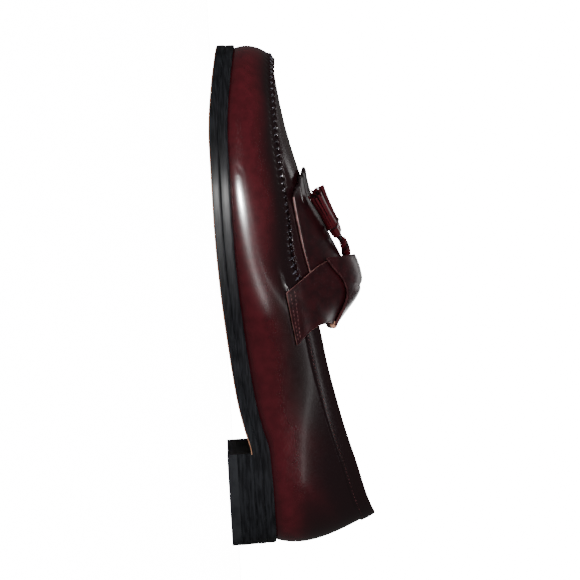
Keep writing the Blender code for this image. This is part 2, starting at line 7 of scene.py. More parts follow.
import logging
import math
from dataclasses import dataclass, field
from enum import Enum
from typing import Callable, Iterable, Sequence

import bpy
import numpy as np
from mathutils import Matrix, Vector, noise
from mathutils.bvhtree import BVHTree


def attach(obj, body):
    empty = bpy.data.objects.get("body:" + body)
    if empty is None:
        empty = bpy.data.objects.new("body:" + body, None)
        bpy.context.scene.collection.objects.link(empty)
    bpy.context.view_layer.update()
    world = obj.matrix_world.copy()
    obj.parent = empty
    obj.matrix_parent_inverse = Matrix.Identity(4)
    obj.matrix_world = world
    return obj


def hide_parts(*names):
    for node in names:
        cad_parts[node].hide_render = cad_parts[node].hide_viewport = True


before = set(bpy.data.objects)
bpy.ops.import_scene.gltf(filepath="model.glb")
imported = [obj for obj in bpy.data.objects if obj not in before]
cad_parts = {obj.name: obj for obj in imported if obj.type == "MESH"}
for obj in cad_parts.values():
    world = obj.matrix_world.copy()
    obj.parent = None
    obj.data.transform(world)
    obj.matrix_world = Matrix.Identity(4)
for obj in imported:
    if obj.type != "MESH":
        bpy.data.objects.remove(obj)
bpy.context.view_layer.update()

LOG = logging.getLogger("loafer")
Array = np.ndarray
Colour = tuple[float, float, float]

BODY = "root"
MM = 0.001
MIDDLE = np.array([147.115, -0.1, 0.0])
EDGE_ROWS = 6
OVERHEAD = 200.0

# Distances from the top edge at which a rib has points, at the collar and at the toe seam.
COLLAR_MARKS = np.array([10.4, 9.6, 9.3, 9.0, 8.7, 8.2, 7.2, 5.4, 3.6, 2.2, 1.2, 0.5, 0.0])
SEAM_MARKS = np.array([7.0, 5.8, 4.9, 4.2, 3.6, 3.0, 2.5, 2.05, 1.6, 1.15, 0.7, 0.3, 0.0])
# Distances from the seam at which a ray of the top panel has points.
PANEL_MARKS = np.array([0.0, 0.3, 0.65, 1.05, 1.5, 2.0, 2.5, 3.1, 3.8, 4.6])


class Slot(Enum):
    """Material slots that the record names."""

    UPPER = "upper_leather"
    EDGE = "edge_leather"
    SOLE = "sole_leather"
    RUBBER = "heel_rubber"


def from_srgb(red: int, green: int, blue: int) -> Colour:
    """Turns an 8-bit screen colour into linear values.

    Args:
        red: Red from 0 to 255.
        green: Green from 0 to 255.
        blue: Blue from 0 to 255.

    Returns:
        The colour in linear light.
    """
    values = np.array([red, green, blue]) / 255.0
    linear = np.where(values <= 0.04045, values / 12.92, ((values + 0.055) / 1.055) ** 2.4)
    return (float(linear[0]), float(linear[1]), float(linear[2]))


def ease(value: Array | float, start: float, end: float) -> Array | float:
    """Smooth step from 0 at start to 1 at end.

    Args:
        value: Where to read the step.
        start: Value at which it leaves 0.
        end: Value at which it reaches 1.

    Returns:
        The height of the step.
    """
    t = np.clip((np.asarray(value, dtype=float) - start) / (end - start), 0.0, 1.0)
    return t * t * (3.0 - 2.0 * t)


def bell(value: Array | float, width: float) -> Array | float:
    """Round hump of height 1 that fades over a width.

    Args:
        value: Distance from the middle of the hump.
        width: Distance at which it has mostly faded.

    Returns:
        The height of the hump.
    """
    return np.exp(-((np.asarray(value, dtype=float) / width) ** 2))


@dataclass(frozen=True)
class Table:
    """Rows of named columns, read with a smooth curve between rows."""

    columns: tuple[str, ...]
    rows: tuple[tuple[float, ...], ...]

    def read(self, name: str, at: Array | float) -> Array:
        """Reads one column without overshooting between its rows.

        Args:
            name: Column to read.
            at: Positions in the first column.

        Returns:
            The column's values there.
        """
        data = np.array(self.rows, dtype=float)
        xs, ys = data[:, 0], data[:, self.columns.index(name)]
        steps = np.diff(xs)
        slopes = np.diff(ys) / steps
        tangents = np.zeros(len(xs))
        tangents[0], tangents[-1] = slopes[0], slopes[-1]
        for i in range(1, len(xs) - 1):
            if slopes[i - 1] * slopes[i] > 0.0:
                wide = 2.0 * steps[i] + steps[i - 1]
                narrow = steps[i] + 2.0 * steps[i - 1]
                tangents[i] = (wide + narrow) / (wide / slopes[i - 1] + narrow / slopes[i])
        spot = np.clip(np.asarray(at, dtype=float), xs[0], xs[-1])
        i = np.clip(np.searchsorted(xs, spot) - 1, 0, len(steps) - 1)
        t = (spot - xs[i]) / steps[i]
        return (
            (1.0 + 2.0 * t) * (1.0 - t) ** 2 * ys[i]
            + t * (1.0 - t) ** 2 * steps[i] * tangents[i]
            + t * t * (3.0 - 2.0 * t) * ys[i + 1]
            + t * t * (t - 1.0) * steps[i] * tangents[i + 1]
        )


SOLE_LINE = Table(
    ("x", "bottom_z"),
    (
        (-5.0, 15.1), (57.0, 13.4), (70.0, 10.4), (85.0, 7.4), (105.0, 5.0),
        (121.0, 3.5), (140.0, 1.9), (157.0, 0.9), (172.0, 0.3), (188.0, 0.0),
        (228.0, 0.0), (240.0, 0.6), (259.0, 2.7), (275.0, 5.0), (295.0, 8.0),
    ),
)

PANEL = Table(
    ("x", "ridge_z", "seam_z", "middle_y", "half_width"),
    (
        (100.0, 57.5, 57.5, 0.0, 29.0),
        (118.0, 60.5, 56.4, 0.0, 29.0),
        (128.0, 63.6, 55.2, 0.0, 29.2),
        (133.0, 67.0, 52.8, 0.0, 29.4),
        (139.0, 71.5, 50.0, 0.0, 29.6),
        (145.0, 75.5, 47.5, 0.0, 29.8),
        (151.0, 77.7, 45.6, 0.0, 30.0),
        (158.0, 76.1, 44.0, 0.0, 30.4),
        (167.0, 72.3, 42.8, 0.0, 31.2),
        (178.0, 67.2, 42.1, 0.2, 32.2),
        (192.0, 61.4, 41.1, 0.5, 33.2),
        (205.0, 56.4, 39.7, 0.8, 34.0),
        (220.0, 52.0, 38.2, 1.1, 33.8),
        (238.0, 47.5, 37.0, 1.5, 31.6),
        (249.0, 45.3, 36.9, 1.6, 30.6),
        (261.0, 43.5, 36.8, 2.1, 29.0),
        (275.0, 41.6, 36.6, 2.6, 27.0),
        (290.0, 39.2, 36.0, 3.0, 26.0),
    ),
)

STRAP = Table(
    ("angle", "rear_x", "front_x", "low", "lift"),
    (
        (0.0, 127.6, 162.0, 2.5, 3.2),
        (20.0, 127.6, 162.0, 2.5, 2.4),
        (40.0, 127.6, 161.5, 2.5, 1.0),
        (55.0, 127.0, 158.0, 2.4, 0.0),
        (66.0, 124.5, 154.0, 3.0, 0.0),
        (75.0, 121.0, 150.5, 2.8, 0.0),
        (82.0, 118.0, 147.5, 1.9, 0.0),
        (90.0, 115.5, 144.5, 0.9, 0.0),
    ),
)

KEEPER = Table(
    ("x", "half_angle"),
    (
        (127.2, 23.0), (134.0, 21.0), (143.0, 22.0), (150.0, 28.0),
        (156.0, 37.0), (162.6, 45.0),
    ),
)

HEEL_ROW = (0.0, 0.0, 0.0, 13.0, 0.0, 0.0, 84.1, 7.0, 18.0, 9.5, 22.0)
TOE_ROW = (294.8, 3.8, 3.8, 287.4, 3.0, 3.0, 39.4, 3.4, 9.0, 4.6, 3.6)
STATIONS = (
    (2.5, 13.0, -13.0, 14.6, 8.5, -8.5, 83.5, 6.6, 18.0, 8.5, 21.0),
    (9.0, 22.5, -22.5, 20.0, 14.8, -14.8, 80.8, 5.6, 18.0, 7.0, 19.0),
    (20.0, 29.0, -29.5, 29.0, 19.5, -19.5, 77.4, 4.6, 17.0, 5.5, 17.0),
    (38.0, 33.0, -33.5, 44.0, 23.0, -23.0, 73.4, 3.8, 16.0, 4.2, 16.0),
    (60.0, 32.5, -34.2, 62.0, 25.2, -25.6, 68.3, 4.2, 14.0, 3.6, 15.0),
    (85.0, 29.5, -36.0, 85.0, 26.8, -28.2, 62.8, 5.6, 13.0, 3.4, 14.0),
    (110.0, 27.5, -39.0, 109.0, 27.8, -30.2, 58.2, 6.8, 12.0, 3.2, 13.0),
    (135.0, 29.5, -44.0, 131.0, 28.2, -31.0, 54.0, 7.0, 11.0, 3.2, 12.0),
    (160.0, 36.0, -49.0, 156.0, 28.8, -31.8, 44.3, 6.0, 9.5, 4.6, 9.0),
    (185.0, 45.0, -51.8, 182.0, 31.6, -33.6, 41.9, 5.0, 9.0, 6.8, 5.0),
    (210.0, 51.2, -51.0, 207.0, 34.0, -34.0, 39.6, 4.2, 9.0, 8.0, 3.0),
    (232.0, 50.8, -47.8, 229.0, 34.0, -32.0, 37.5, 4.0, 9.0, 8.0, 2.4),
    (252.0, 47.6, -42.4, 249.0, 32.2, -29.2, 37.0, 3.8, 9.0, 7.4, 2.4),
    (269.0, 41.4, -34.6, 266.0, 28.2, -23.4, 37.2, 3.6, 9.0, 6.4, 2.6),
    (282.0, 31.8, -24.6, 278.4, 21.6, -16.0, 38.2, 3.4, 9.0, 5.4, 3.0),
    (290.8, 19.2, -11.8, 285.2, 12.8, -6.8, 39.1, 3.4, 9.0, 4.8, 3.4),
)


@dataclass(frozen=True)
class LeatherFinish:
    """Smooth polished leather with fine grain, darkened point by point by the leather's own tone
    and by painted shade.
    """

    name: str
    deep: Colour
    middle: Colour
    dark: Colour
    roughness: float = 0.34
    coat: float = 0.22
    coat_roughness: float = 0.16
    grain: float = 0.12
    grain_scale: float = 1100.0
    crease: float = 0.04
    crease_scale: float = 90.0

    def build(self) -> bpy.types.Material:
        """Makes the node material."""
        material, nodes, links, shader = blank_material(self.name)
        place = nodes.new("ShaderNodeTexCoord").outputs["Object"]
        fine = noise_node(nodes, links, place, 200.0, 2.0)
        base = mix_colour(nodes, links, fine, self.deep, self.middle, (0.2, 0.8))
        # Per-point darkening: partly the leather's own tone, partly painted shade and painted
        # shadow.
        tone_and_shade = nodes.new("ShaderNodeAttribute")
        tone_and_shade.attribute_name = "tone_and_shade"
        shaded = mix_colour(nodes, links, tone_and_shade.outputs["Fac"], base, self.dark, (0.0, 1.0))
        links.new(shaded, shader.inputs["Base Color"])
        shader.inputs["Roughness"].default_value = self.roughness
        shader.inputs["Coat Weight"].default_value = self.coat
        shader.inputs["Coat Roughness"].default_value = self.coat_roughness
        pores = nodes.new("ShaderNodeTexVoronoi")
        pores.inputs["Scale"].default_value = self.grain_scale
        links.new(place, pores.inputs["Vector"])
        folds = noise_node(nodes, links, place, self.crease_scale, 1.0)
        first = bump(nodes, links, folds, self.crease, 0.0006)
        second = bump(nodes, links, pores.outputs["Distance"], self.grain, 0.0002, first)
        links.new(second, shader.inputs["Normal"])
        return material


@dataclass(frozen=True)
class EdgeFinish:
    """Inked and waxed cut edge of stacked sole leather."""

    name: str
    dark: Colour
    light: Colour
    roughness: tuple[float, float] = (0.48, 0.62)
    line_scale: float = 900.0
    streak: float = 0.35

    def build(self) -> bpy.types.Material:
        """Makes the node material."""
        material, nodes, links, shader = blank_material(self.name)
        place = nodes.new("ShaderNodeTexCoord").outputs["Object"]
        stretch = nodes.new("ShaderNodeMapping")
        stretch.inputs["Scale"].default_value = (0.25, 0.25, 2.4)
        links.new(place, stretch.inputs["Vector"])
        streaks = noise_node(nodes, links, stretch.outputs["Vector"], 420.0, 5.0)
        broad = noise_node(nodes, links, place, 45.0, 3.0)
        base = mix_colour(nodes, links, streaks, self.dark, self.light, (0.3, 0.75))
        links.new(base, shader.inputs["Base Color"])
        rough = map_range(nodes, links, broad, (0.3, 0.7), self.roughness)
        links.new(rough, shader.inputs["Roughness"])
        shader.inputs["Specular IOR Level"].default_value = 0.09
        shader.inputs["Coat Weight"].default_value = 0.02
        shader.inputs["Coat Roughness"].default_value = 0.3
        links.new(bump(nodes, links, streaks, self.streak, 0.0003), shader.inputs["Normal"])
        return material


@dataclass(frozen=True)
class PlainFinish:
    """Matt material with a mottled colour, for linings, soles and thread."""

    name: str
    dark: Colour
    light: Colour
    roughness: float = 0.7
    mottle: float = 60.0
    pit_scale: float = 900.0
    pit: float = 0.2

    def build(self) -> bpy.types.Material:
        """Makes the node material."""
        material, nodes, links, shader = blank_material(self.name)
        place = nodes.new("ShaderNodeTexCoord").outputs["Object"]
        broad = noise_node(nodes, links, place, self.mottle, 6.0)
        pits = noise_node(nodes, links, place, self.pit_scale, 3.0)
        base = mix_colour(nodes, links, broad, self.dark, self.light, (0.3, 0.7))
        links.new(base, shader.inputs["Base Color"])
        shader.inputs["Roughness"].default_value = self.roughness
        links.new(bump(nodes, links, pits, self.pit, 0.0003), shader.inputs["Normal"])
        return material


@dataclass(frozen=True)
class GlowFinish:
    """White stage surface that also shines a little of its own light."""

    name: str
    white: float
    glow: float

    def build(self) -> bpy.types.Material:
        """Makes the node material."""
        material, _, _, shader = blank_material(self.name)
        shader.inputs["Base Color"].default_value = (self.white, self.white, self.white, 1.0)
        shader.inputs["Roughness"].default_value = 0.9
        shader.inputs["Emission Color"].default_value = (1.0, 1.0, 1.0, 1.0)
        shader.inputs["Emission Strength"].default_value = self.glow
        return material


def blank_material(name: str) -> tuple:
    """Starts a node material.

    Args:
        name: Name of the material.

    Returns:
        The material, its nodes, its links and its shader.
    """
    material = bpy.data.materials.new(name)
    material.use_nodes = True
    tree = material.node_tree
    return material, tree.nodes, tree.links, tree.nodes["Principled BSDF"]


def noise_node(nodes, links, place, scale: float, detail: float):
    """Adds a noise texture and returns its value socket."""
    node = nodes.new("ShaderNodeTexNoise")
    node.inputs["Scale"].default_value = scale
    node.inputs["Detail"].default_value = detail
    links.new(place, node.inputs["Vector"])
    return node.outputs["Fac"]


def map_range(nodes, links, value, source: Sequence[float], target: Sequence[float]):
    """Adds a map range node and returns its result socket."""
    node = nodes.new("ShaderNodeMapRange")
    node.interpolation_type = "SMOOTHSTEP"
    node.inputs["From Min"].default_value = source[0]
    node.inputs["From Max"].default_value = source[1]
    node.inputs["To Min"].default_value = target[0]
    node.inputs["To Max"].default_value = target[1]
    links.new(value, node.inputs["Value"])
    return node.outputs["Result"]


def mix_colour(nodes, links, value, first, second: Colour, span: Sequence[float]):
    """Blends from a colour, or a colour socket, to a second colour by a value."""
    node = nodes.new("ShaderNodeMix")
    node.data_type = "RGBA"
    below, above = (s for s in node.inputs if s.type == "RGBA")
    if isinstance(first, bpy.types.NodeSocket):
        links.new(first, below)
    else:
        below.default_value = (*first, 1.0)
    above.default_value = (*second, 1.0)
    links.new(map_range(nodes, links, value, span, (0.0, 1.0)), node.inputs["Factor"])
    return next(s for s in node.outputs if s.type == "RGBA")


def bump(nodes, links, height, strength: float, distance: float, below=None):
    """Adds a bump node over another and returns its normal socket."""
    node = nodes.new("ShaderNodeBump")
    node.inputs["Strength"].default_value = strength
    node.inputs["Distance"].default_value = distance
    links.new(height, node.inputs["Height"])
    if below is not None:
        links.new(below, node.inputs["Normal"])
    return node.outputs["Normal"]


@dataclass
class Finishes:
    """All materials of the shoe."""

    leather: bpy.types.Material = field(init=False)
    tassel: bpy.types.Material = field(init=False)
    strap: bpy.types.Material = field(init=False)
    raw_edge: bpy.types.Material = field(init=False)
    dark_edge: bpy.types.Material = field(init=False)
    sole_edge: bpy.types.Material = field(init=False)
    sole: bpy.types.Material = field(init=False)
    rubber: bpy.types.Material = field(init=False)
    lining: bpy.types.Material = field(init=False)
    thread: bpy.types.Material = field(init=False)
    fine_thread: bpy.types.Material = field(init=False)
    floor: bpy.types.Material = field(init=False)
    wall: bpy.types.Material = field(init=False)

    def __post_init__(self) -> None:
        """Builds every finish once."""
        self.leather = LeatherFinish(
            "burgundy_leather", from_srgb(59, 14, 20), from_srgb(73, 19, 26),
            from_srgb(20, 10, 12), 0.22, 0.16, 0.09, 0.05,
        ).build()
        self.tassel = LeatherFinish(
            "tassel_leather", from_srgb(50, 11, 17), from_srgb(82, 20, 27),
            from_srgb(14, 6, 8), 0.28, 0.25, 0.1,
        ).build()
        self.strap = LeatherFinish(
            "burgundy_strap", from_srgb(27, 9, 12), from_srgb(45, 14, 18),
            from_srgb(12, 7, 8), 0.38, 0.12, grain=0.2,
        ).build()
        self.raw_edge = PlainFinish(
            "cut_leather_edge", from_srgb(106, 66, 64), from_srgb(164, 122, 118), 0.55, 200.0,
        ).build()
        self.dark_edge = PlainFinish(
            "dark_leather_edge", from_srgb(44, 22, 25), from_srgb(82, 48, 50), 0.5, 200.0,
        ).build()
        self.sole_edge = EdgeFinish(
            "inked_sole_edge", from_srgb(17, 17, 19), from_srgb(36, 37, 40),
        ).build()
        self.sole = PlainFinish(
            "tan_sole_leather", from_srgb(164, 112, 84), from_srgb(198, 148, 118), 0.55, 40.0,
        ).build()
        self.rubber = PlainFinish(
            "heel_rubber", from_srgb(28, 29, 32), from_srgb(44, 45, 48), 0.75, 80.0,
        ).build()
        self.lining = PlainFinish(
            "tan_lining", from_srgb(150, 104, 84), from_srgb(186, 138, 114), 0.6, 50.0,
        ).build()
        # Thread colour with painted glints: its light blue-grey stands in for highlights on the
        # seam stitches.
        self.thread = PlainFinish(
            "thread_with_painted_glints", from_srgb(30, 28, 33), from_srgb(88, 86, 96), 0.28, 400.0,
        ).build()
        self.fine_thread = PlainFinish(
            "fine_thread", from_srgb(84, 56, 56), from_srgb(130, 96, 94), 0.5, 400.0,
        ).build()
        self.floor = GlowFinish("studio_floor", 0.8, 15.0).build()
        self.wall = GlowFinish("studio_wall", 0.0, 17.0).build()


class Sheet:
    """An open sheet of faces from which a leather piece is cut."""

    def __init__(self) -> None:
        """Starts an empty sheet."""
        self.points: list[Array] = []
        self.faces: list[tuple[int, ...]] = []
        self.lookup: dict[tuple[float, ...], int] = {}
        self.values: dict[int, dict[str, float]] = {}

    def add(self, point: Array, **values: float) -> int:
        """Adds a point, or finds it again.

        Args:
            point: Place in millimetres.
            **values: Named numbers kept with the point.

        Returns:
            The point's number.
        """
        key = tuple(round(float(c), 3) for c in point)
        number = self.lookup.setdefault(key, len(self.points))
        if number == len(self.points):
            self.points.append(np.array(point, dtype=float))
            self.values[number] = {}
        known = self.values[number]
        for name, value in values.items():
            known[name] = max(value, known.get(name, value))
        return number

    def face(self, *numbers: int) -> None:
        """Adds a face, leaving out points that repeat."""
        kept = [n for i, n in enumerate(numbers) if n != numbers[i - 1]]
        if len(set(kept)) == len(kept) and len(kept) > 2:
            self.faces.append(tuple(kept))

    def grid(
        self, rows: Sequence[Sequence[int]],
        keep: Callable[[int, int], bool] = lambda row, column: True,
    ) -> None:
        """Adds the faces between rows of points.

        Args:
            rows: Point numbers, row by row.
            keep: Says which cells are filled.
        """
        for r in range(len(rows) - 1):
            for c in range(len(rows[r]) - 1):
                if keep(r, c):
                    self.face(rows[r][c], rows[r][c + 1], rows[r + 1][c + 1], rows[r + 1][c])

    def face_up(self) -> None:
        """Turns the sheet over where its faces look down."""
        if float(np.sum(self.normals()[:, 2])) < 0.0:
            self.faces = [tuple(reversed(f)) for f in self.faces]

    def normals(self) -> Array:
        """Outward direction at each point."""
        spots = np.array(self.points)
        total = np.zeros_like(spots)
        for corners in (3, 4):
            faces = np.array([f for f in self.faces if len(f) == corners], dtype=int)
            if len(faces) == 0:
                continue
            corner = spots[faces]
            first = corner[:, 0]
            area = np.cross(corner[:, 1] - first, corner[:, 2] - first)
            if corners == 4:
                area += np.cross(corner[:, 2] - first, corner[:, 3] - first)
            for k in range(corners):
                np.add.at(total, faces[:, k], area)
        size = np.linalg.norm(total, axis=1)
        size[size == 0.0] = 1.0
        return total / size[:, None]

    def smooth(self, rows: Sequence[Sequence[int]], rounds: int) -> None:
        """Evens out a grid of points, sliding its border only along itself.

        Args:
            rows: Point numbers, row by row.
            rounds: How often each point moves to the middle of its neighbours.
        """
        numbers = np.array(rows)
        spots = np.array(self.points)[numbers]
        for _ in range(rounds):
            fresh = spots.copy()
            fresh[1:-1, 1:-1] = (
                spots[:-2, 1:-1] + spots[2:, 1:-1] + spots[1:-1, :-2] + spots[1:-1, 2:]
            ) / 4.0
            for edge in (0, -1):
                fresh[1:-1, edge] = (spots[:-2, edge] + spots[2:, edge]) / 2.0
                fresh[edge, 1:-1] = (spots[edge, :-2] + spots[edge, 2:]) / 2.0
            spots = fresh
        for number, spot in zip(numbers.ravel(), spots.reshape(-1, 3)):
            self.points[number] = spot

    def value(self, name: str) -> Array:
        """One named number at every point, 0 where it isn't set."""
        return np.array([self.values[n].get(name, 0.0) for n in range(len(self.points))])

    def solid(self, low: Array | float, high: Array | float, round_rows: int = 4,
              roundness: float = 0.7) -> tuple[Array, list[tuple[int, ...]], int]:
        """Makes a closed body with rounded cut edges.

        Args:
            low: Height of the under side over the sheet.
            high: Height of the upper side over the sheet.
            round_rows: Rows of faces across each cut edge.
            roundness: How far a cut edge bulges, in half thicknesses.

        Returns:
            Points, faces, and how many faces come before those of the cut edges.
        """
        base = np.array(self.points)
        normals = self.normals()
        count = len(base)
        lows = np.broadcast_to(np.asarray(low, dtype=float), (count,))
        highs = np.broadcast_to(np.asarray(high, dtype=float), (count,))
        points = [base + normals * highs[:, None], base + normals * lows[:, None]]
        faces = list(self.faces) + [tuple(n + count for n in reversed(f)) for f in self.faces]
        edges = {(a, b) for f in self.faces for a, b in zip(f, f[1:] + f[:1])}
        border = [(a, b) for a, b in sorted(edges) if (b, a) not in edges]
        outward = np.zeros_like(base)
        for a, b in border:
            along = base[b] - base[a]
            for n in (a, b):
                outward[n] += np.cross(along, normals[n])
        rim = sorted({n for pair in border for n in pair})
        size = np.linalg.norm(outward[rim], axis=1)
        outward[rim] /= np.where(size == 0.0, 1.0, size)[:, None]
        number = {n: i for i, n in enumerate(rim)}
        start = 2 * count
        half = (highs - lows) / 2.0
        middle = (highs + lows) / 2.0
        for k in range(1, round_rows):
            turn = math.pi * k / round_rows
            ring = (
                base[rim] + normals[rim] * (middle + half * math.cos(turn))[rim, None]
                + outward[rim] * (half * roundness * math.sin(turn))[rim, None]
            )
            points.append(ring)

        def place(n: int, k: int) -> int:
            """Number of a border point at one row of the cut edge."""
            if k == 0:
                return n
            if k == round_rows:
                return n + count
            return start + (k - 1) * len(rim) + number[n]

        for a, b in border:
            for k in range(round_rows):
                faces.append((place(b, k), place(a, k), place(a, k + 1), place(b, k + 1)))
        return np.vstack(points), faces, 2 * len(self.faces)


def dress(
    name: str, points: Array, faces: Iterable[Sequence[int]],
    materials: Sequence[bpy.types.Material], slot: Slot, nodes: Sequence[str] = (),
    tone_and_shade: Array | None = None, choose: Callable[[Array, Array], int] | None = None,
    edge_from: int | None = None, edge_rows: int = 4, sharp: float = 50.0,
) -> bpy.types.Object:
    """Turns points in millimetres into a finished piece that rides the shoe.

    Args:
        name: Name of the piece.
        points: Places in the shoe's own axes.
        faces: Point numbers of each face.
        materials: One or more materials.
        slot: The record's slot that the piece belongs to.
        nodes: CAD nodes that the piece stands for.
        tone_and_shade: Darkening at each point, from 0 to 1, made of the piece's own tone and
            painted shade.
        choose: Gives a face's material from its middle and its normal.
        edge_from: Number of the first face of the cut edges.
        edge_rows: Rows of faces in a cut edge. The middle ones take the second material.
        sharp: Angle in degrees above which an edge stays crisp.

    Returns:
        The new object.
    """
    mesh = bpy.data.meshes.new(name)
    mesh.from_pydata(((np.asarray(points) - MIDDLE) * MM).tolist(), [], [tuple(f) for f in faces])
    for material in materials:
        mesh.materials.append(material)
    if tone_and_shade is not None:
        layer = mesh.attributes.new("tone_and_shade", "FLOAT", "POINT")
        layer.data.foreach_set("value", np.clip(tone_and_shade, 0.0, 1.0).astype(np.float32))
    mesh.shade_smooth()
    mesh.set_sharp_from_angle(angle=math.radians(sharp))
    if choose is not None:
        for polygon in mesh.polygons:
            centre = np.array(polygon.center) / MM + MIDDLE
            polygon.material_index = choose(centre, np.array(polygon.normal))
    if edge_from is not None:
        middle = range(1, edge_rows - 1) if edge_rows > 2 else range(edge_rows)
        for number, polygon in enumerate(mesh.polygons[edge_from:]):
            polygon.material_index = int(number % edge_rows in middle)
    piece = bpy.data.objects.new(name, mesh)
    bpy.context.scene.collection.objects.link(piece)
    return ride(piece, slot, nodes)


def ride(piece: bpy.types.Object, slot: Slot, nodes: Sequence[str] = ()) -> bpy.types.Object:
    """Fixes a finished piece to the shoe.

    Args:
        piece: The object.
        slot: The record's slot that it belongs to. Not used.
        nodes: CAD nodes that the piece stands for.

    Returns:
        The same object.
    """
    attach(piece, BODY)
    if nodes:
        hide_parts(*nodes)
    LOG.info("%s: %d faces", piece.name, len(piece.data.polygons))
    return piece


def waver(points: Array, scale: float, seed: float) -> Array:
    """Smooth repeatable unevenness at each point.

    Args:
        points: Places in millimetres.
        scale: Size of one wave in millimetres.
        seed: Shifts the pattern.

    Returns:
        One value from about -1 to 1 for each point.
    """
    return np.array([
        noise.noise(Vector((p[0] / scale + seed, p[1] / scale, p[2] / scale))) for p in points
    ])


@dataclass
class Last:
    """The shape of the shoe: outline, ribs and top panel."""

    outsole_thick: float = 5.0
    midsole_thick: float = 4.8
    insole_thick: float = 2.2
    clear: float = 0.3
    inset: float = 2.0
    wall: float = 2.0
    throat_station: int = 8
    throat_x: float = 128.0
    throat_bow: float = 2.0
    strap_axis_z: float = 38.0

    def bottom(self, x: Array | float) -> Array:
        """Height of the walking surface."""
        return SOLE_LINE.read("bottom_z", x)

    def midsole_bottom(self, x: Array | float) -> Array:
        """Height of the midsole's under side."""
        return self.bottom(x) + self.outsole_thick + self.clear

    def feather(self, x: Array | float) -> Array:
        """Height at which the upper meets the sole."""
        return self.midsole_bottom(x) + self.midsole_thick

    def panel_z(self, x: Array, y: Array) -> Array:
        """Height of the top panel."""
        ridge = PANEL.read("ridge_z", x)
        fall = ridge - PANEL.read("seam_z", x)
        across = np.abs(y - PANEL.read("middle_y", x)) / PANEL.read("half_width", x)
        return ridge - fall * across ** 2

    def __post_init__(self) -> None:
        """Fits one closed spline through all stations."""
        def side(row: Sequence[float], inner: bool) -> tuple[float, ...]:
            """One station on the inner or the outer side."""
            edge, top = (row[1], row[4]) if inner else (row[2], row[5])
            return (row[0], edge, row[3], top, *row[6:])

        values = np.array([
            side(HEEL_ROW, True), *(side(row, True) for row in STATIONS),
            side(TOE_ROW, True), *(side(row, False) for row in reversed(STATIONS)),
        ])
        closed = np.vstack([values, values[:1]])
        lengths = np.linalg.norm(np.diff(closed[:, :2], axis=0), axis=1)
        n = len(values)
        matrix = np.zeros((n, n))
        right = np.zeros_like(values)
        for i in range(n):
            j = (i + 1) % n
            matrix[i, i - 1] += lengths[i - 1]
            matrix[i, i] += 2.0 * (lengths[i - 1] + lengths[i])
            matrix[i, j] += lengths[i]
            rise = (values[j] - values[i]) / lengths[i]
            right[i] = 6.0 * (rise - (values[i] - values[i - 1]) / lengths[i - 1])
        self.values = values
        self.lengths = lengths
        self.bend = np.linalg.solve(matrix, right)
        self.count = n

    def spline(self, at: Array) -> tuple[Array, Array]:
        """Station values and their slopes anywhere round the shoe.

        Args:
            at: Station numbers, with fractions.

        Returns:
            Values and slopes, one row for each number.
        """
        whole = np.floor(at).astype(int)
        i, j = whole % self.count, (whole + 1) % self.count
        b = (at - whole)[:, None]
        a = 1.0 - b
        scale = (self.lengths[i] ** 2 / 6.0)[:, None]
        values = a * self.values[i] + b * self.values[j]
        values = values + ((a ** 3 - a) * self.bend[i] + (b ** 3 - b) * self.bend[j]) * scale
        slopes = self.values[j] - self.values[i]
        turn = (3.0 * b ** 2 - 1.0) * self.bend[j] - (3.0 * a ** 2 - 1.0) * self.bend[i]
        return values, slopes + turn * scale

    def outline(self, at: Array, inset: float) -> tuple[Array, Array]:
        """Plan of the sole edge moved inward.

        Args:
            at: Station numbers, with fractions.
            inset: Distance inward.

        Returns:
            Plan points and their outward directions.
        """
        values, slopes = self.spline(at)
        outward = np.column_stack([-slopes[:, 1], slopes[:, 0]])
        outward /= np.linalg.norm(outward, axis=1)[:, None]
        return values[:, :2] - outward * inset, outward

    def even(self, steps: int) -> Array:
        """Station numbers with the same steps in every station."""
        return np.arange(self.count * steps) / steps

    def crowded(self, rear_steps: int, spacing: float) -> Array:
        """Station numbers that are close together along the toe seam.

        Args:
            rear_steps: Steps in each station of the rear part.
            spacing: Distance between ribs along the toe seam.

        Returns:
            Station numbers round the whole shoe.
        """
        first, final = self.throat_station, self.count - self.throat_station
        dense = np.linspace(first, final, 6000)
        tops = self.spline(dense)[0][:, 2:4]
        reach = np.concatenate([[0.0], np.cumsum(np.linalg.norm(np.diff(tops, axis=0), axis=1))])
        marks = np.linspace(0.0, reach[-1], int(reach[-1] / spacing) + 1)
        middle = np.interp(marks, reach, dense)
        rear = np.arange(first * rear_steps) / rear_steps
        return np.concatenate([rear, middle[:-1], final + rear])

    def ribs(self, at: Array, fine: int = 72) -> Array:
        """Points up every rib, from the feather line to the top edge."""
        values = self.spline(at)[0]
        plan, outward = self.outline(at, self.inset)
        foot = np.column_stack([plan, self.feather(plan[:, 0]) + self.clear])
        out = np.column_stack([outward, np.zeros(len(at))])
        up = np.array([0.0, 0.0, 1.0])
        top = values[:, 2:5]
        low = foot + out * values[:, 5:6] + up * values[:, 6:7]
        high = top + out * values[:, 7:8] - up * values[:, 8:9]
        foot, low, high, top = (p[:, None] for p in (foot, low, high, top))
        t = np.linspace(0.0, 1.0, fine)[None, :, None]
        return (
            (1 - t) ** 3 * foot + 3 * (1 - t) ** 2 * t * low
            + 3 * (1 - t) * t ** 2 * high + t ** 3 * top
        )


def from_end(rib: Array, distances: Array) -> Array:
    """Points of a polyline at distances from its end.

    Args:
        rib: Points of the polyline.
        distances: Distances back from its last point.

    Returns:
        One point for each distance.
    """
    reach = np.concatenate([[0.0], np.cumsum(np.linalg.norm(np.diff(rib, axis=0), axis=1))])
    at = reach[-1] - np.asarray(distances)
    return np.column_stack([np.interp(at, reach, rib[:, axis]) for axis in range(3)])


def rib_length(rib: Array) -> float:
    """Length of a polyline."""
    return float(np.sum(np.linalg.norm(np.diff(rib, axis=0), axis=1)))


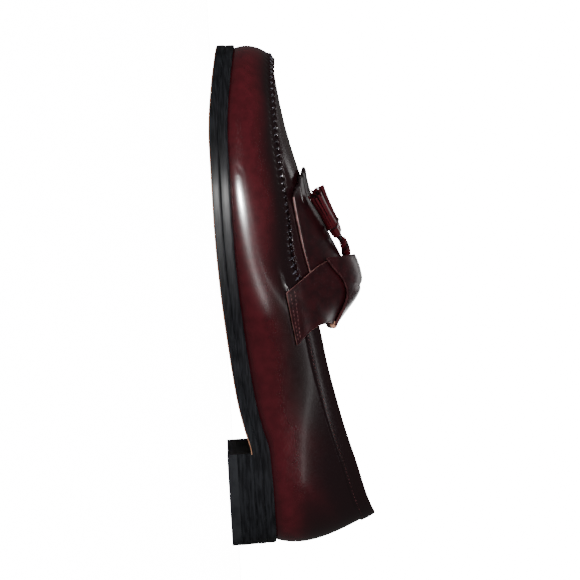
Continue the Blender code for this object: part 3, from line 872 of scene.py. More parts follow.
@dataclass
class Skin:
    """The upper's outer face as a sheet, with its seam line."""

    last: Last
    at: Array
    wall_rows: int
    panel_rows: int
    throat_station: int
    throat_x: float
    sheet: Sheet = field(init=False)
    seam: list[int] = field(init=False)
    seam_length: float = field(init=False)

    def __post_init__(self) -> None:
        """Lays out the wall and the top panel."""
        self.sheet = Sheet()
        ribs = self.last.ribs(self.at)
        final = self.last.count - self.throat_station
        front = [i for i, u in enumerate(self.at) if self.throat_station <= u <= final]
        tops = ribs[front, -1]
        steps = np.linalg.norm(np.diff(tops[:, :2], axis=0), axis=1)
        reach = np.concatenate([[0.0], np.cumsum(steps)])
        self.seam_length = float(reach[-1])
        along = np.interp(np.arange(len(self.at)), front, reach)
        wall = [self.wall_column(u, rib, s) for u, rib, s in zip(self.at, ribs, along)]
        self.seam = [wall[i][-1] for i in front]
        wall.append(wall[0])
        self.sheet.grid([list(row) for row in zip(*wall)])
        self.panel(tops, reach)
        self.sheet.face_up()

    def front(self, u: float) -> float:
        """1 where a rib ends in the toe seam and 0 where it ends in the collar."""
        inside = min(u - self.throat_station, self.last.count - self.throat_station - u)
        return float(ease(inside, 0.3, 1.8))

    def wall_column(self, u: float, rib: Array, along: float) -> list[int]:
        """Points of one rib, crowded toward its top edge."""
        length = rib_length(rib)
        front = self.front(u)
        tops = COLLAR_MARKS + (SEAM_MARKS - COLLAR_MARKS) * front
        low = length - (length - tops[0]) * np.arange(self.wall_rows) / self.wall_rows
        distances = np.concatenate([low, tops])
        return [
            self.sheet.add(point, top=float(d), foot=float(length - d), front=front, wall=1.0,
                           along=float(along))
            for point, d in zip(from_end(rib, distances), distances)
        ]

    def panel(self, tops: Array, reach: Array) -> None:
        """Top panel as rays from the seam back to the throat."""
        share = reach / reach[-1]
        rays = []
        for top, part, along in zip(tops, share, reach):
            side = min(part, 1.0 - part)
            bow = self.last.throat_bow * (1.0 - (2.0 * part - 1.0) ** 2)
            end = np.array([
                tops[0][0] + (self.throat_x - tops[0][0]) * float(ease(side, 0.0, 0.12)) - bow,
                tops[0][1] + (tops[-1][1] - tops[0][1]) * part,
            ])
            span = float(np.linalg.norm(end - top[:2])) if 0.0 < part < 1.0 else 0.0
            scale = min(1.0, span / 14.0)
            near = PANEL_MARKS * scale
            crowding = 1.0 + 0.8 * float(ease(span, 30.0, 150.0))
            left = (1.0 - np.arange(1, self.panel_rows + 1) / self.panel_rows) ** crowding
            distances = np.concatenate([near, span - (span - near[-1]) * left])
            f = distances / span if span > 0.0 else np.zeros(len(distances))
            spots = top[:2] + (end - top[:2]) * f[:, None]
            misfit = top[2] - self.last.panel_z(top[0], top[1])
            heights = self.last.panel_z(spots[:, 0], spots[:, 1]) + misfit * (1.0 - f) ** 3
            heights = np.where(f == 0.0, top[2], heights)
            strength = float(ease(side, 0.0, 0.1))
            rays.append([
                self.sheet.add((x, y, z), seam=float(d), front=strength, along=float(along))
                for (x, y), z, d in zip(spots, heights, distances)
            ])
        self.sheet.grid([list(row) for row in zip(*rays)])


@dataclass
class Form:
    """The upper's face drawn out to the rear, to lay other pieces on."""

    last: Last
    tree: BVHTree = field(init=False)

    def __post_init__(self) -> None:
        """Builds the search tree."""
        skin = Skin(self.last, self.last.even(9), 18, 44, 7, 108.0)
        points = [Vector(p) for p in skin.sheet.points]
        self.tree = BVHTree.FromPolygons(points, skin.sheet.faces)

    def above(self, x: float, y: float) -> Array:
        """Point of the form straight above one plan point."""
        return np.array(self.tree.ray_cast(Vector((x, y, OVERHEAD)), Vector((0.0, 0.0, -1.0)))[0])

    def around(self, x: float, angle: float) -> Array:
        """Point of the form at an angle from the top, in degrees."""
        turn = math.radians(angle)
        way = Vector((0.0, math.sin(turn), math.cos(turn)))
        start = Vector((x, 0.0, self.last.strap_axis_z))
        return np.array(self.tree.ray_cast(start, way)[0])


@dataclass
class StitchRun:
    """A row of stitches made by Geometry Nodes along a path."""

    name: str
    path: Array
    facing: Array
    pitch: float
    length: float
    radius: float
    material: bpy.types.Material
    lift: float = 0.0
    slant: float = 0.0

    def build(self) -> bpy.types.Object:
        """Makes the row as one plain mesh that rides the shoe."""
        mesh = bpy.data.meshes.new(self.name)
        spots = (self.path + self.facing * self.lift - MIDDLE) * MM
        edges = [(i, i + 1) for i in range(len(spots) - 1)]
        mesh.from_pydata(spots.tolist(), edges, [])
        layer = mesh.attributes.new("facing", "FLOAT_VECTOR", "POINT")
        layer.data.foreach_set("vector", self.facing.astype(np.float32).ravel())
        guide = bpy.data.objects.new(self.name + "_guide", mesh)
        bpy.context.scene.collection.objects.link(guide)
        modifier = guide.modifiers.new("stitches", "NODES")
        tree = self.tree()
        modifier.node_group = tree
        for item in tree.interface.items_tree:
            if item.item_type == "SOCKET" and item.in_out == "INPUT":
                value = {
                    "Pitch": self.pitch * MM, "Length": self.length * MM,
                    "Radius": self.radius * MM, "Slant": self.slant,
                }.get(item.name)
                if value is not None:
                    modifier[item.identifier] = value
        graph = bpy.context.evaluated_depsgraph_get()
        result = bpy.data.meshes.new_from_object(guide.evaluated_get(graph))
        bpy.data.objects.remove(guide)
        result.name = self.name
        result.shade_smooth()
        piece = bpy.data.objects.new(self.name, result)
        bpy.context.scene.collection.objects.link(piece)
        return ride(piece, Slot.UPPER)

    def tree(self) -> bpy.types.NodeTree:
        """Node tree that sets one slanted bead at every pitch of the path."""
        group = bpy.data.node_groups.new(self.name, "GeometryNodeTree")
        face = group.interface
        face.new_socket("Geometry", in_out="INPUT", socket_type="NodeSocketGeometry")
        for name in ("Pitch", "Length", "Radius", "Slant"):
            face.new_socket(name, in_out="INPUT", socket_type="NodeSocketFloat")
        face.new_socket("Geometry", in_out="OUTPUT", socket_type="NodeSocketGeometry")
        nodes, links = group.nodes, group.links
        start = nodes.new("NodeGroupInput")
        end = nodes.new("NodeGroupOutput")
        curve = nodes.new("GeometryNodeMeshToCurve")
        spaced = nodes.new("GeometryNodeResampleCurve")
        spaced.mode = "LENGTH"
        bead = nodes.new("GeometryNodeMeshUVSphere")
        bead.inputs["Segments"].default_value = 8
        bead.inputs["Rings"].default_value = 6
        bead.inputs["Radius"].default_value = 1.0
        size = nodes.new("ShaderNodeCombineXYZ")
        half = nodes.new("ShaderNodeMath")
        half.operation = "MULTIPLY"
        half.inputs[1].default_value = 0.5
        facing = nodes.new("GeometryNodeInputNamedAttribute")
        facing.data_type = "FLOAT_VECTOR"
        facing.inputs["Name"].default_value = "facing"
        tangent = nodes.new("GeometryNodeInputTangent")
        upright = nodes.new("FunctionNodeAlignRotationToVector")
        upright.axis = "Z"
        aimed = nodes.new("FunctionNodeAlignRotationToVector")
        aimed.axis = "X"
        aimed.pivot_axis = "Z"
        turn = nodes.new("FunctionNodeRotateRotation")
        turn.rotation_space = "LOCAL"
        angle = nodes.new("ShaderNodeCombineXYZ")
        placed = nodes.new("GeometryNodeInstanceOnPoints")
        real = nodes.new("GeometryNodeRealizeInstances")
        coat = nodes.new("GeometryNodeSetMaterial")
        coat.inputs["Material"].default_value = self.material
        wires = (
            (start, "Geometry", curve, "Mesh"), (curve, "Curve", spaced, "Curve"),
            (start, "Pitch", spaced, "Length"), (start, "Length", half, 0),
            (half, 0, size, "X"), (start, "Radius", size, "Y"), (start, "Radius", size, "Z"),
            (facing, "Attribute", upright, "Vector"), (upright, "Rotation", aimed, "Rotation"),
            (tangent, "Tangent", aimed, "Vector"), (start, "Slant", angle, "Z"),
            (aimed, "Rotation", turn, "Rotation"), (angle, "Vector", turn, "Rotate By"),
            (spaced, "Curve", placed, "Points"), (bead, "Mesh", placed, "Instance"),
            (turn, "Rotation", placed, "Rotation"), (size, "Vector", placed, "Scale"),
            (placed, "Instances", real, "Geometry"), (real, "Geometry", coat, "Geometry"),
            (coat, "Geometry", end, "Geometry"),
        )
        for source, out, target, into in wires:
            links.new(source.outputs[out], target.inputs[into])
        return group


@dataclass(frozen=True)
class Crease:
    """A soft trough in the leather with a low ridge beside it."""

    start: tuple[float, float, float]
    end: tuple[float, float, float]
    depth: float
    width: float

    def rise(self, points: Array) -> Array:
        """Height that the crease adds at each point."""
        a, b = np.array(self.start), np.array(self.end)
        along = b - a
        length = float(np.linalg.norm(along))
        share = np.clip((points - a) @ along / length ** 2, 0.0, 1.0)
        gap = points - (a + share[:, None] * along)
        distance = np.linalg.norm(gap, axis=1)
        taper = np.sin(np.pi * np.clip(share, 0.06, 0.94))
        side = np.sign(gap[:, 0]) * distance
        trough = bell(distance, self.width)
        ridge = 0.45 * bell(side - 2.0 * self.width, 1.3 * self.width)
        return self.depth * taper * (ridge - trough)


@dataclass
class Upper:
    """Outer leather and lining of the upper."""

    last: Last
    finishes: Finishes
    lining_face: float = -1.1
    collar_step: float = 0.8
    collar_width: float = 8.8
    stitch_line: float = 7.6
    seam_stitch: float = 5.0
    seam_fit: float = 0.9999
    seam_ridge: float = 1.4
    pucker: float = 0.5
    pucker_pitch: float = 3.9
    lean: float = 0.11
    creases: tuple[Crease, ...] = (
        Crease((219.0, 50.0, 12.5), (208.0, 51.0, 18.0), 0.3, 0.9),
        Crease((214.0, 51.0, 12.5), (205.0, 51.0, 16.0), 0.22, 0.8),
        Crease((224.0, 48.5, 16.0), (215.0, 48.0, 22.0), 0.14, 1.6),
        Crease((206.0, -50.5, 13.5), (196.0, -50.0, 20.0), 0.4, 1.6),
        Crease((214.0, -50.0, 15.0), (205.0, -49.0, 22.0), 0.25, 1.8),
    )

    def rises(self, skin: Skin) -> Array:
        """Height of the leather's face over the smooth form at each point."""
        sheet = skin.sheet
        points = np.array(sheet.points)
        top, seam, front = sheet.value("top"), sheet.value("seam"), sheet.value("front")
        along, wall = sheet.value("along"), sheet.value("wall") > 0.5
        pitch = skin.seam_length / round(skin.seam_length / self.pucker_pitch)
        lean = self.lean * np.where(wall, -top, seam)
        wave = -np.cos(2.0 * np.pi * (along / pitch + lean))
        band = (1.0 - ease(top, self.collar_width - 0.2, self.collar_width + 0.5))
        collar = self.collar_step * band + 0.25 * np.sin(np.pi * np.clip(top / 8.4, 0.0, 1.0))
        outer = 0.62 * self.seam_ridge * bell(top - 1.1, 1.35) * (1.0 + self.pucker * wave)
        outer = outer + 0.12 * wave * bell(top - 3.4, 1.8)
        inner = self.seam_ridge * bell(seam - 1.8, 1.6) * (1.0 + self.pucker * wave)
        inner = inner + 0.24 * wave * bell(seam - 4.4, 2.4)
        face = np.where(wall, collar * (1.0 - front) + outer * front, inner * front)
        soft = 0.25 * waver(points, 42.0, 3.1) + 0.03 * waver(points, 17.0, 7.7)
        quiet = np.where(wall, ease(top, 2.0, 14.0), ease(seam, 4.0, 12.0))
        face = face + soft * quiet
        for crease in self.creases:
            face = face + crease.rise(points)
        return face

    def shade(self, sheet: Sheet) -> Array:
        """Darkening painted into the leather: painted shade up the wall towards the seam and the
        collar, and a painted shadow along the sole; it is also darker round the heel and over the
        top panel.
        """
        points = np.array(sheet.points)
        x = points[:, 0]
        top, foot = sheet.value("top"), sheet.value("foot")
        wall = sheet.value("wall") > 0.5
        height = foot / np.maximum(top + foot, 1.0)
        cloud = 0.08 * waver(points, 26.0, 5.0) + 0.03 * waver(points, 9.0, 2.0)
        rear = 1.0 - ease(x, 115.0, 195.0)
        # Painted shade: the wall gets darker the higher it rises, and it darkens lower down
        # towards the heel.
        side = 0.92 * ease(height + cloud, 0.28 - 0.3 * rear, 0.96 - 0.2 * rear)
        heel = 0.85 * (1.0 - ease(x + 80.0 * cloud, 6.0, 80.0)) * ease(height, 0.0, 0.42)
        # Painted shadow along the foot of the wall where it meets the sole, plus a darker rear.
        low = 0.35 * (1.0 - ease(foot, 0.0, 5.0)) + 0.25 * rear
        side = np.maximum(np.maximum(side, heel), low)
        return np.where(wall, side, 0.78 + cloud)

    def build(self) -> None:
        """Makes the leather, the lining and the seams."""
        skin = Skin(self.last, self.last.crowded(10, 0.6), 20, 22,
                    self.last.throat_station, self.last.throat_x)
        rises = self.rises(skin)
        points, faces, _ = skin.sheet.solid(self.lining_face, rises, 5)
        sheet = skin.sheet
        wall = sheet.value("wall") > 0.5
        front, top, seam = (sheet.value(n) for n in ("front", "top", "seam"))
        # Painted shade in the toe seam's groove, and painted shadow under the collar band's edge
        # and along the foot of the wall.
        groove = np.where(wall, bell(top, 3.6), bell(seam, 5.0)) * front
        dark = 0.97 * groove
        dark = dark + 0.6 * bell(top - self.collar_width, 0.5) * (1.0 - front) * wall
        dark = dark + 0.55 * bell(sheet.value("foot"), 1.6) * wall
        dark = np.maximum(dark, self.shade(sheet))
        tone_and_shade = np.zeros(len(points))
        tone_and_shade[:len(dark)] = dark
        dress("upper_leather", points, faces, [self.finishes.leather], Slot.UPPER, ["upper"],
              tone_and_shade=tone_and_shade)
        plain = Skin(self.last, self.last.even(6), 9, 14,
                     self.last.throat_station, self.last.throat_x)
        points, faces, _ = plain.sheet.solid(-self.last.wall, self.lining_face - 0.05, 3)
        dress("upper_lining", points, faces, [self.finishes.lining], Slot.UPPER, ["upper"])
        self.seams(skin, rises)

    def seams(self, skin: Skin, rises: Array) -> None:
        """Hand stitches along the toe seam and fine ones round the collar."""
        places = np.array(skin.sheet.points)
        normals = skin.sheet.normals()
        pitch = skin.seam_length / round(skin.seam_length / self.pucker_pitch)
        StitchRun(
            "toe_seam_stitches", places[skin.seam], normals[skin.seam], pitch * self.seam_fit,
            self.seam_stitch, 0.6, self.finishes.thread, lift=0.6,
            slant=math.pi / 2.0 + math.atan(self.lean * pitch),
        ).build()
        per, reach = 10, self.last.throat_station
        ribs = self.last.ribs(np.concatenate([
            np.arange((self.last.count - reach) * per, self.last.count * per),
            np.arange(reach * per + 1),
        ]) / per)
        at_band = np.array([from_end(rib, np.array([self.stitch_line]))[0] for rib in ribs])
        outward = np.cross(np.gradient(at_band, axis=0), ribs[:, -1] - ribs[:, -12])
        outward /= np.linalg.norm(outward, axis=1)[:, None]
        if float(np.mean(outward[:, 1] * np.sign(at_band[:, 1]))) < 0.0:
            outward = -outward
        StitchRun(
            "collar_stitches", at_band, outward, 2.3, 1.6, 0.2, self.finishes.dark_edge,
            lift=self.collar_step + 0.1,
        ).build()


@dataclass
class FringedFlap:
    """The leather flap over the panel, slit and pinked at its front."""

    form: Form
    finishes: Finishes
    thick: float = 1.6
    clear: float = 0.55
    lift: float = 1.2
    front_x: float = 219.5
    rear_x: float = 129.5
    sweep: float = 18.0
    margin: float = 4.2
    rear_taper: float = 3.5
    length: float = 13.0
    strips: int = 11
    slit: float = 1.3
    inner_columns: int = 8
    fringe_rows: int = 12
    rear_rows: int = 44
    teeth: int = 3

    def build(self) -> None:
        """Makes the flap as one piece of leather."""
        sheet = Sheet()
        rows, lifts = [], {}
        for r in range(self.fringe_rows + self.rear_rows + 1):
            line = []
            for strip in range(self.strips):
                for c in range(self.inner_columns + 1):
                    number, rise = self.spot(sheet, r, strip, c / self.inner_columns)
                    lifts[number] = rise
                    line.append(number)
            rows.append(line)
        per = self.inner_columns + 1
        sheet.grid(rows, keep=lambda r, c: r >= self.fringe_rows or (c + 1) % per != 0)
        sheet.face_up()
        low = np.array([lifts[n] for n in range(len(sheet.points))])
        points, faces, edge = sheet.solid(low, low + self.thick, EDGE_ROWS, 0.5)
        xs = np.array(points)[:, 0]
        flap = dress("fringed_flap_leather", points, faces,
                     [self.finishes.strap, self.finishes.raw_edge], Slot.UPPER, ["fringed_flap"],
                     tone_and_shade=0.3 + 0.5 * ease(xs, 196.0, 210.0), edge_from=edge,
                     edge_rows=EDGE_ROWS)
        root_x = self.front_x - self.sweep - self.length
        for polygon in flap.data.polygons:
            x, y, _ = np.array(polygon.center) / MM + MIDDLE
            half = float(PANEL.read("half_width", x)) - self.margin
            inside = abs(y - float(PANEL.read("middle_y", x))) < 0.96 * half
            if x > root_x + 11.0 or (x > root_x - 1.0 and inside):
                polygon.material_index = 0

    def spot(self, sheet: Sheet, row: int, strip: int, share: float) -> tuple[int, float]:
        """One point of the flap and its lift over the panel."""
        width = 2.0 / self.strips
        gap = self.slit / 60.0
        across = -1.0 + strip * width + gap + (width - 2.0 * gap) * share
        if strip == 0 and share == 0.0:
            across = -1.0
        if strip == self.strips - 1 and share == 1.0:
            across = 1.0
        front = self.front_x - self.sweep * across ** 2 * (0.75 + 0.25 * across ** 2)
        out = max(0.0, 1.0 - row / self.fringe_rows)
        if row <= self.fringe_rows:
            tooth = abs((share * self.teeth) % 1.0 - 0.5) * 2.0
            uneven = 0.9 * math.sin(2.6 * strip + 0.4)
            tip = (2.1 * tooth + max(0.0, uneven)) * out ** 3
            x = front - tip - self.length * (1.0 - out)
        else:
            root = front - self.length
            x = root + (self.rear_x - root) * (row - self.fringe_rows) / self.rear_rows
        margin = self.margin + self.rear_taper * float(ease(152.0 - x, 0.0, 16.0))
        half = float(PANEL.read("half_width", x)) - margin
        y = float(PANEL.read("middle_y", x)) + across * half
        y += 0.35 * math.sin(1.9 * strip) * out ** 2
        number = sheet.add(self.form.above(x, y))
        cup = 0.35 * out * (2.0 * share - 1.0) ** 2
        curl = (0.25 + 0.75 * math.sin(3.1 * strip + 1.0) ** 2) * out ** 2
        base = self.clear + self.lift * float(ease(x, 195.0, self.front_x))
        return number, base + cup + curl


@dataclass
class Strap:
    """The saddle strap over the instep and the folded tab on it."""

    form: Form
    finishes: Finishes
    thick: float = 2.1
    tab_thick: float = 1.7
    seat: float = 0.55
    end_rise: float = 0.1
    roll_radius: float = 2.1
    roll_drop: float = -0.4
    rear: float = 127.6
    width: float = 34.4

    def level(self, share: float, angle: float) -> float:
        """Height of the strap's under side over the form, at a share of its width."""
        low = float(STRAP.read("low", abs(angle)))
        rise = float(STRAP.read("lift", abs(angle)))
        return low + rise * float(ease(share, 0.0, 1.0))

    def build(self) -> None:
        """Makes the strap, its stitches and the tab."""
        self.band()
        self.tab()

    def band(self) -> None:
        """The band from side to side, with stitches along its ends."""
        sheet = Sheet()
        rows, lifts = [], {}
        for angle in np.linspace(-90.0, 90.0, 129):
            near = float(STRAP.read("rear_x", abs(angle)))
            far = float(STRAP.read("front_x", abs(angle)))
            line = []
            for f in np.linspace(0.0, 1.0, 25):
                x = near + (far - near) * f
                slant = self.end_rise * (1.0 - f) * (abs(angle) / 90.0) ** 8
                number = sheet.add(self.form.around(x, angle * (1.0 - slant)))
                low = self.level(f, angle)
                dip = 0.15 * bell(abs(angle) - 52.0, 10.0) * bell(f - 0.55, 0.3)
                lifts[number] = (low, low + self.thick - float(dip))
                line.append(number)
            rows.append(line)
        sheet.grid(rows)
        sheet.face_up()
        sheet.smooth(rows, 16)
        count = len(sheet.points)
        low = np.array([lifts[n][0] for n in range(count)])
        high = np.array([lifts[n][1] for n in range(count)])
        points, faces, edge = sheet.solid(low, high, EDGE_ROWS, 0.5)
        tone_and_shade = 0.25 * np.clip(waver(points, 9.0, 4.0), 0.0, 1.0)
        dress("saddle_strap_leather", points, faces,
              [self.finishes.strap, self.finishes.raw_edge], Slot.UPPER, ["saddle_strap"],
              tone_and_shade=tone_and_shade, edge_from=edge, edge_rows=EDGE_ROWS)
        normals = sheet.normals()
        face = np.array(sheet.points) + normals * high[:, None]
        runs = {"inner_end": (-3, 2, 22), "inner_end_second": (-6, 2, 22),
                "outer_end": (2, 2, 22), "outer_end_second": (5, 2, 22)}
        for name, (row, start, stop) in runs.items():
            numbers = rows[row][start:stop + 1]
            self.stitches(f"strap_{name}_stitches", face[numbers], normals[numbers])

    def stitches(self, name: str, path: Array, facing: Array) -> None:
        """One row of fine stitches."""
        StitchRun(name, path, facing, 2.1, 1.5, 0.2, self.finishes.fine_thread, lift=0.05).build()

    def tab(self) -> None:
        """The tab laid lengthwise over the band and rolled at its rear end."""
        sheet = Sheet()
        rows, lifts = [], {}
        for x in np.linspace(127.2, 162.6, 41):
            half = float(KEEPER.read("half_angle", x))
            line = []
            for share in np.linspace(-1.0, 1.0, 41):
                angle = half * share
                number = sheet.add(self.form.around(x, angle))
                fold = 0.8 * bell(x - 149.5, 1.0) * bell(share, 0.9)
                share_x = (x - self.rear) / self.width
                low = self.level(share_x, angle) + self.thick + self.seat
                lifts[number] = (low, low + self.tab_thick - float(fold))
                line.append(number)
            rows.append(line)
        sheet.grid(rows)
        sheet.face_up()
        count = len(sheet.points)
        low = np.array([lifts[n][0] for n in range(count)])
        high = np.array([lifts[n][1] for n in range(count)])
        points, faces, edge = sheet.solid(low, high, EDGE_ROWS, 0.6)
        dress("keeper_tab_leather", points, faces,
              [self.finishes.strap, self.finishes.dark_edge], Slot.UPPER, ["keeper_tab"],
              edge_from=edge, edge_rows=EDGE_ROWS)
        middle = np.array(sheet.points) + sheet.normals() * (low + self.roll_drop)[:, None]
        path = middle[rows[0]]
        points, faces = tube(path, np.full(len(path), self.roll_radius), 20)
        ends = len(faces) - 2
        dress("keeper_roll_leather", np.array(points), faces,
              [self.finishes.strap, self.finishes.lining], Slot.UPPER, ["keeper_tab"],
              edge_from=ends, edge_rows=2, sharp=60.0)


def ring_faces(levels: int, around: int, start: int = 0,
               caps: bool = True) -> list[tuple[int, ...]]:
    """Faces between rings of points, and over both ends.

    Args:
        levels: Number of rings.
        around: Points in each ring.
        start: Number of the first point.
        caps: Whether the first and the last ring are closed.

    Returns:
        Point numbers of each face.
    """
    faces = []
    for level in range(levels - 1):
        for k in range(around):
            a, b = start + level * around + k, start + level * around + (k + 1) % around
            faces.append((a, b, b + around, a + around))
    if caps:
        end = start + (levels - 1) * around
        faces.append(tuple(reversed(range(start, start + around))))
        faces.append(tuple(range(end, end + around)))
    return faces


def tube(path: Array, sizes: Array, around: int,
         flat: float = 1.0) -> tuple[list[Array], list[tuple[int, ...]]]:
    """A closed tube round a path.

    Args:
        path: Points of its middle line.
        sizes: Radius at each point.
        around: Points round the tube.
        flat: Height of the tube's section against its width.

    Returns:
        Points and faces.
    """
    points = []
    for i, centre in enumerate(path):
        ahead = path[min(i + 1, len(path) - 1)] - path[max(i - 1, 0)]
        ahead = ahead / np.linalg.norm(ahead)
        side = np.array([0.0, 0.0, 1.0]) - ahead * ahead[2]
        side = side / np.linalg.norm(side)
        other = np.cross(ahead, side)
        for k in range(around):
            turn = 2.0 * math.pi * k / around
            ray = side * flat * math.cos(turn) + other * math.sin(turn)
            points.append(centre + sizes[i] * ray)
    return points, ring_faces(len(path), around)


@dataclass
class Tassel:
    """A tassel with a cap, a ring at the cap's foot and a skirt of leather strips."""

    name: str
    node: str
    root: tuple[float, float, float]
    tip: tuple[float, float, float]
    finishes: Finishes
    radius: float = 4.7
    flatten: float = 0.86
    strips: int = 15
    skirt_from: float = 8.2
    skirt_rows: int = 9
    section: tuple[tuple[float, float], ...] = ((-1, 0), (0, 0.03), (1, 0), (1, -0.2), (-1, -0.2))
    profile: tuple[tuple[float, float], ...] = (
        (-0.2, 0.2), (0.0, 0.5), (0.5, 0.62), (1.2, 0.66), (3.4, 0.73), (6.0, 0.78),
        (6.4, 0.86), (6.9, 0.98), (7.5, 1.0), (8.1, 0.98), (8.5, 0.88), (8.8, 0.7), (9.0, 0.3),
    )

    def axes(self) -> tuple[Array, Array, Array, float]:
        """Axis, side and up directions, and the length."""
        axis = np.array(self.tip) - np.array(self.root)
        length = float(np.linalg.norm(axis))
        axis = axis / length
        side = np.cross(np.array([0.0, 0.0, 1.0]), axis)
        side = side / np.linalg.norm(side)
        return axis, side, np.cross(axis, side), length

    def build(self) -> None:
        """Makes the cap and the skirt."""
        axis, side, up, length = self.axes()
        root = np.array(self.root)
        around = 48
        points = []
        for reach, size in self.profile:
            for k in range(around):
                turn = 2.0 * math.pi * k / around
                rib = 0.035 * math.cos(8.0 * turn) if 1.0 < reach < 6.1 else 0.0
                ray = side * math.cos(turn) + up * self.flatten * math.sin(turn)
                points.append(root + axis * reach + ray * self.radius * size * (1.0 + rib))
        faces = ring_faces(len(self.profile), around)
        reach = np.array([root + axis * np.dot(p - root, axis) for p in points])
        distance = np.linalg.norm(reach - root, axis=1)
        dark = 0.9 * bell(distance - 7.5, 0.9) + 0.6 * bell(distance, 0.8)
        dress(self.name + "_cap", np.array(points), faces, [self.finishes.tassel],
              Slot.UPPER, [self.node], tone_and_shade=dark, sharp=70.0)
        self.skirt(root, axis, side, up, length)

    def skirt(self, root: Array, axis: Array, side: Array, up: Array, length: float) -> None:
        """Strips in two layers that hang from the ring."""
        points, faces, dark = [], [], []
        for layer, (count, size) in enumerate(((self.strips, 0.93), (9, 0.6))):
            for strip in range(count):
                turn = 2.0 * math.pi * (strip + 0.5 * layer) / count
                end = length - 0.9 + 0.9 * math.sin(2.4 * strip + layer)
                sway = 0.12 * math.sin(1.7 * strip + 2.0 * layer)
                width = 0.86 * math.pi / count
                base = len(points)
                for reach in np.linspace(self.skirt_from, end, self.skirt_rows):
                    f = (reach - self.skirt_from) / (end - self.skirt_from)
                    wide = size * (0.92 + 0.2 * f - 0.1 * math.sin(math.pi * f))
                    for turned, deep in self.section:
                        spot = turn + sway * f + turned * width * (1.0 - 0.08 * f)
                        ray = side * math.cos(spot) + up * self.flatten * math.sin(spot)
                        points.append(root + axis * reach + ray * self.radius * (wide + deep))
                        # Painted shade: the inner layer of strips and the edges of every strip are
                        # darker.
                        dark.append(0.15 + 0.5 * layer + 0.25 * (abs(turned) == 1))
                faces += ring_faces(self.skirt_rows, len(self.section), base)
        dress(self.name + "_skirt", np.array(points), faces, [self.finishes.tassel],
              Slot.UPPER, [self.node], tone_and_shade=np.array(dark), sharp=40.0)


@dataclass
class Lace:
    """The knotted lace that joins the two tassels."""

    finishes: Finishes
    near: tuple[float, float, float]
    far: tuple[float, float, float]
    radius: float = 1.6
    strand_radius: float = 1.3
    braid_radius: float = 1.4
    braid_turns: float = 2.2
    braid_rise: float = 0.9
    middle: tuple[tuple[float, float, float, float], ...] = (
        (174.6, 8.8, 74.6, 1.15), (171.8, 6.4, 75.9, 1.3), (169.0, 4.2, 76.8, 1.5),
        (167.2, 1.4, 77.3, 1.55), (168.8, -0.9, 77.4, 1.5), (172.4, -1.6, 77.2, 1.3),
        (176.4, -1.6, 76.4, 1.15),
    )

    def build(self) -> None:
        """Makes the lace with ridges where it is wound round itself."""
        stops = np.array([
            (self.near[0] - 0.7, self.near[1], self.near[2] + 0.4, 1.0), *self.middle,
            (self.far[0] - 0.7, self.far[1], self.far[2] + 0.4, 1.0),
        ])
        marks = np.arange(len(stops))
        fine = np.linspace(0.0, len(stops) - 1.0, 161)
        smooth = np.column_stack([np.interp(fine, marks, stops[:, k]) for k in range(4)])
        for _ in range(12):
            smooth[1:-1] = (smooth[:-2] + 2.0 * smooth[1:-1] + smooth[2:]) / 4.0
        knot = bell(fine - 4.0, 1.5)
        wound = 1.0 + 0.09 * knot * np.sin(fine * 9.0) - 0.04
        points, faces = tube(smooth[:, :3], self.radius * smooth[:, 3] * wound, 16, 0.8)
        # Painted shade: darker bands along the lace, in step with its wound ridges and valleys.
        dress("tassel_lace_leather", np.array(points), faces, [self.finishes.strap], Slot.UPPER,
              ["tassel_lace"], tone_and_shade=np.repeat(0.5 - 0.5 * np.sin(fine * 9.0), 16) * 0.7)
        part = smooth[12:96, :3] + np.array([0.0, 0.0, self.braid_rise])
        ahead = np.gradient(part, axis=0)
        side = np.cross([0.0, 0.0, 1.0], ahead)
        side /= np.linalg.norm(side, axis=1)[:, None]
        up = np.cross(ahead, side)
        up /= np.linalg.norm(up, axis=1)[:, None]
        share = np.linspace(0.03, 0.97, len(part))
        thick = self.strand_radius * np.sin(np.pi * share) ** 0.25
        for strand in range(3):
            turn = 2.0 * math.pi * (self.braid_turns * share + strand / 3.0)
            wound = part + self.braid_radius * (
                side * np.cos(turn)[:, None] + up * np.sin(turn)[:, None])
            points, faces = tube(wound, thick, 14)
            dress(f"tassel_braid_{strand}_leather", np.array(points), faces,
                  [self.finishes.tassel], Slot.UPPER, ["tassel_lace"],
                  tone_and_shade=np.full(len(points), (0.2, 0.5, 0.75)[strand]))


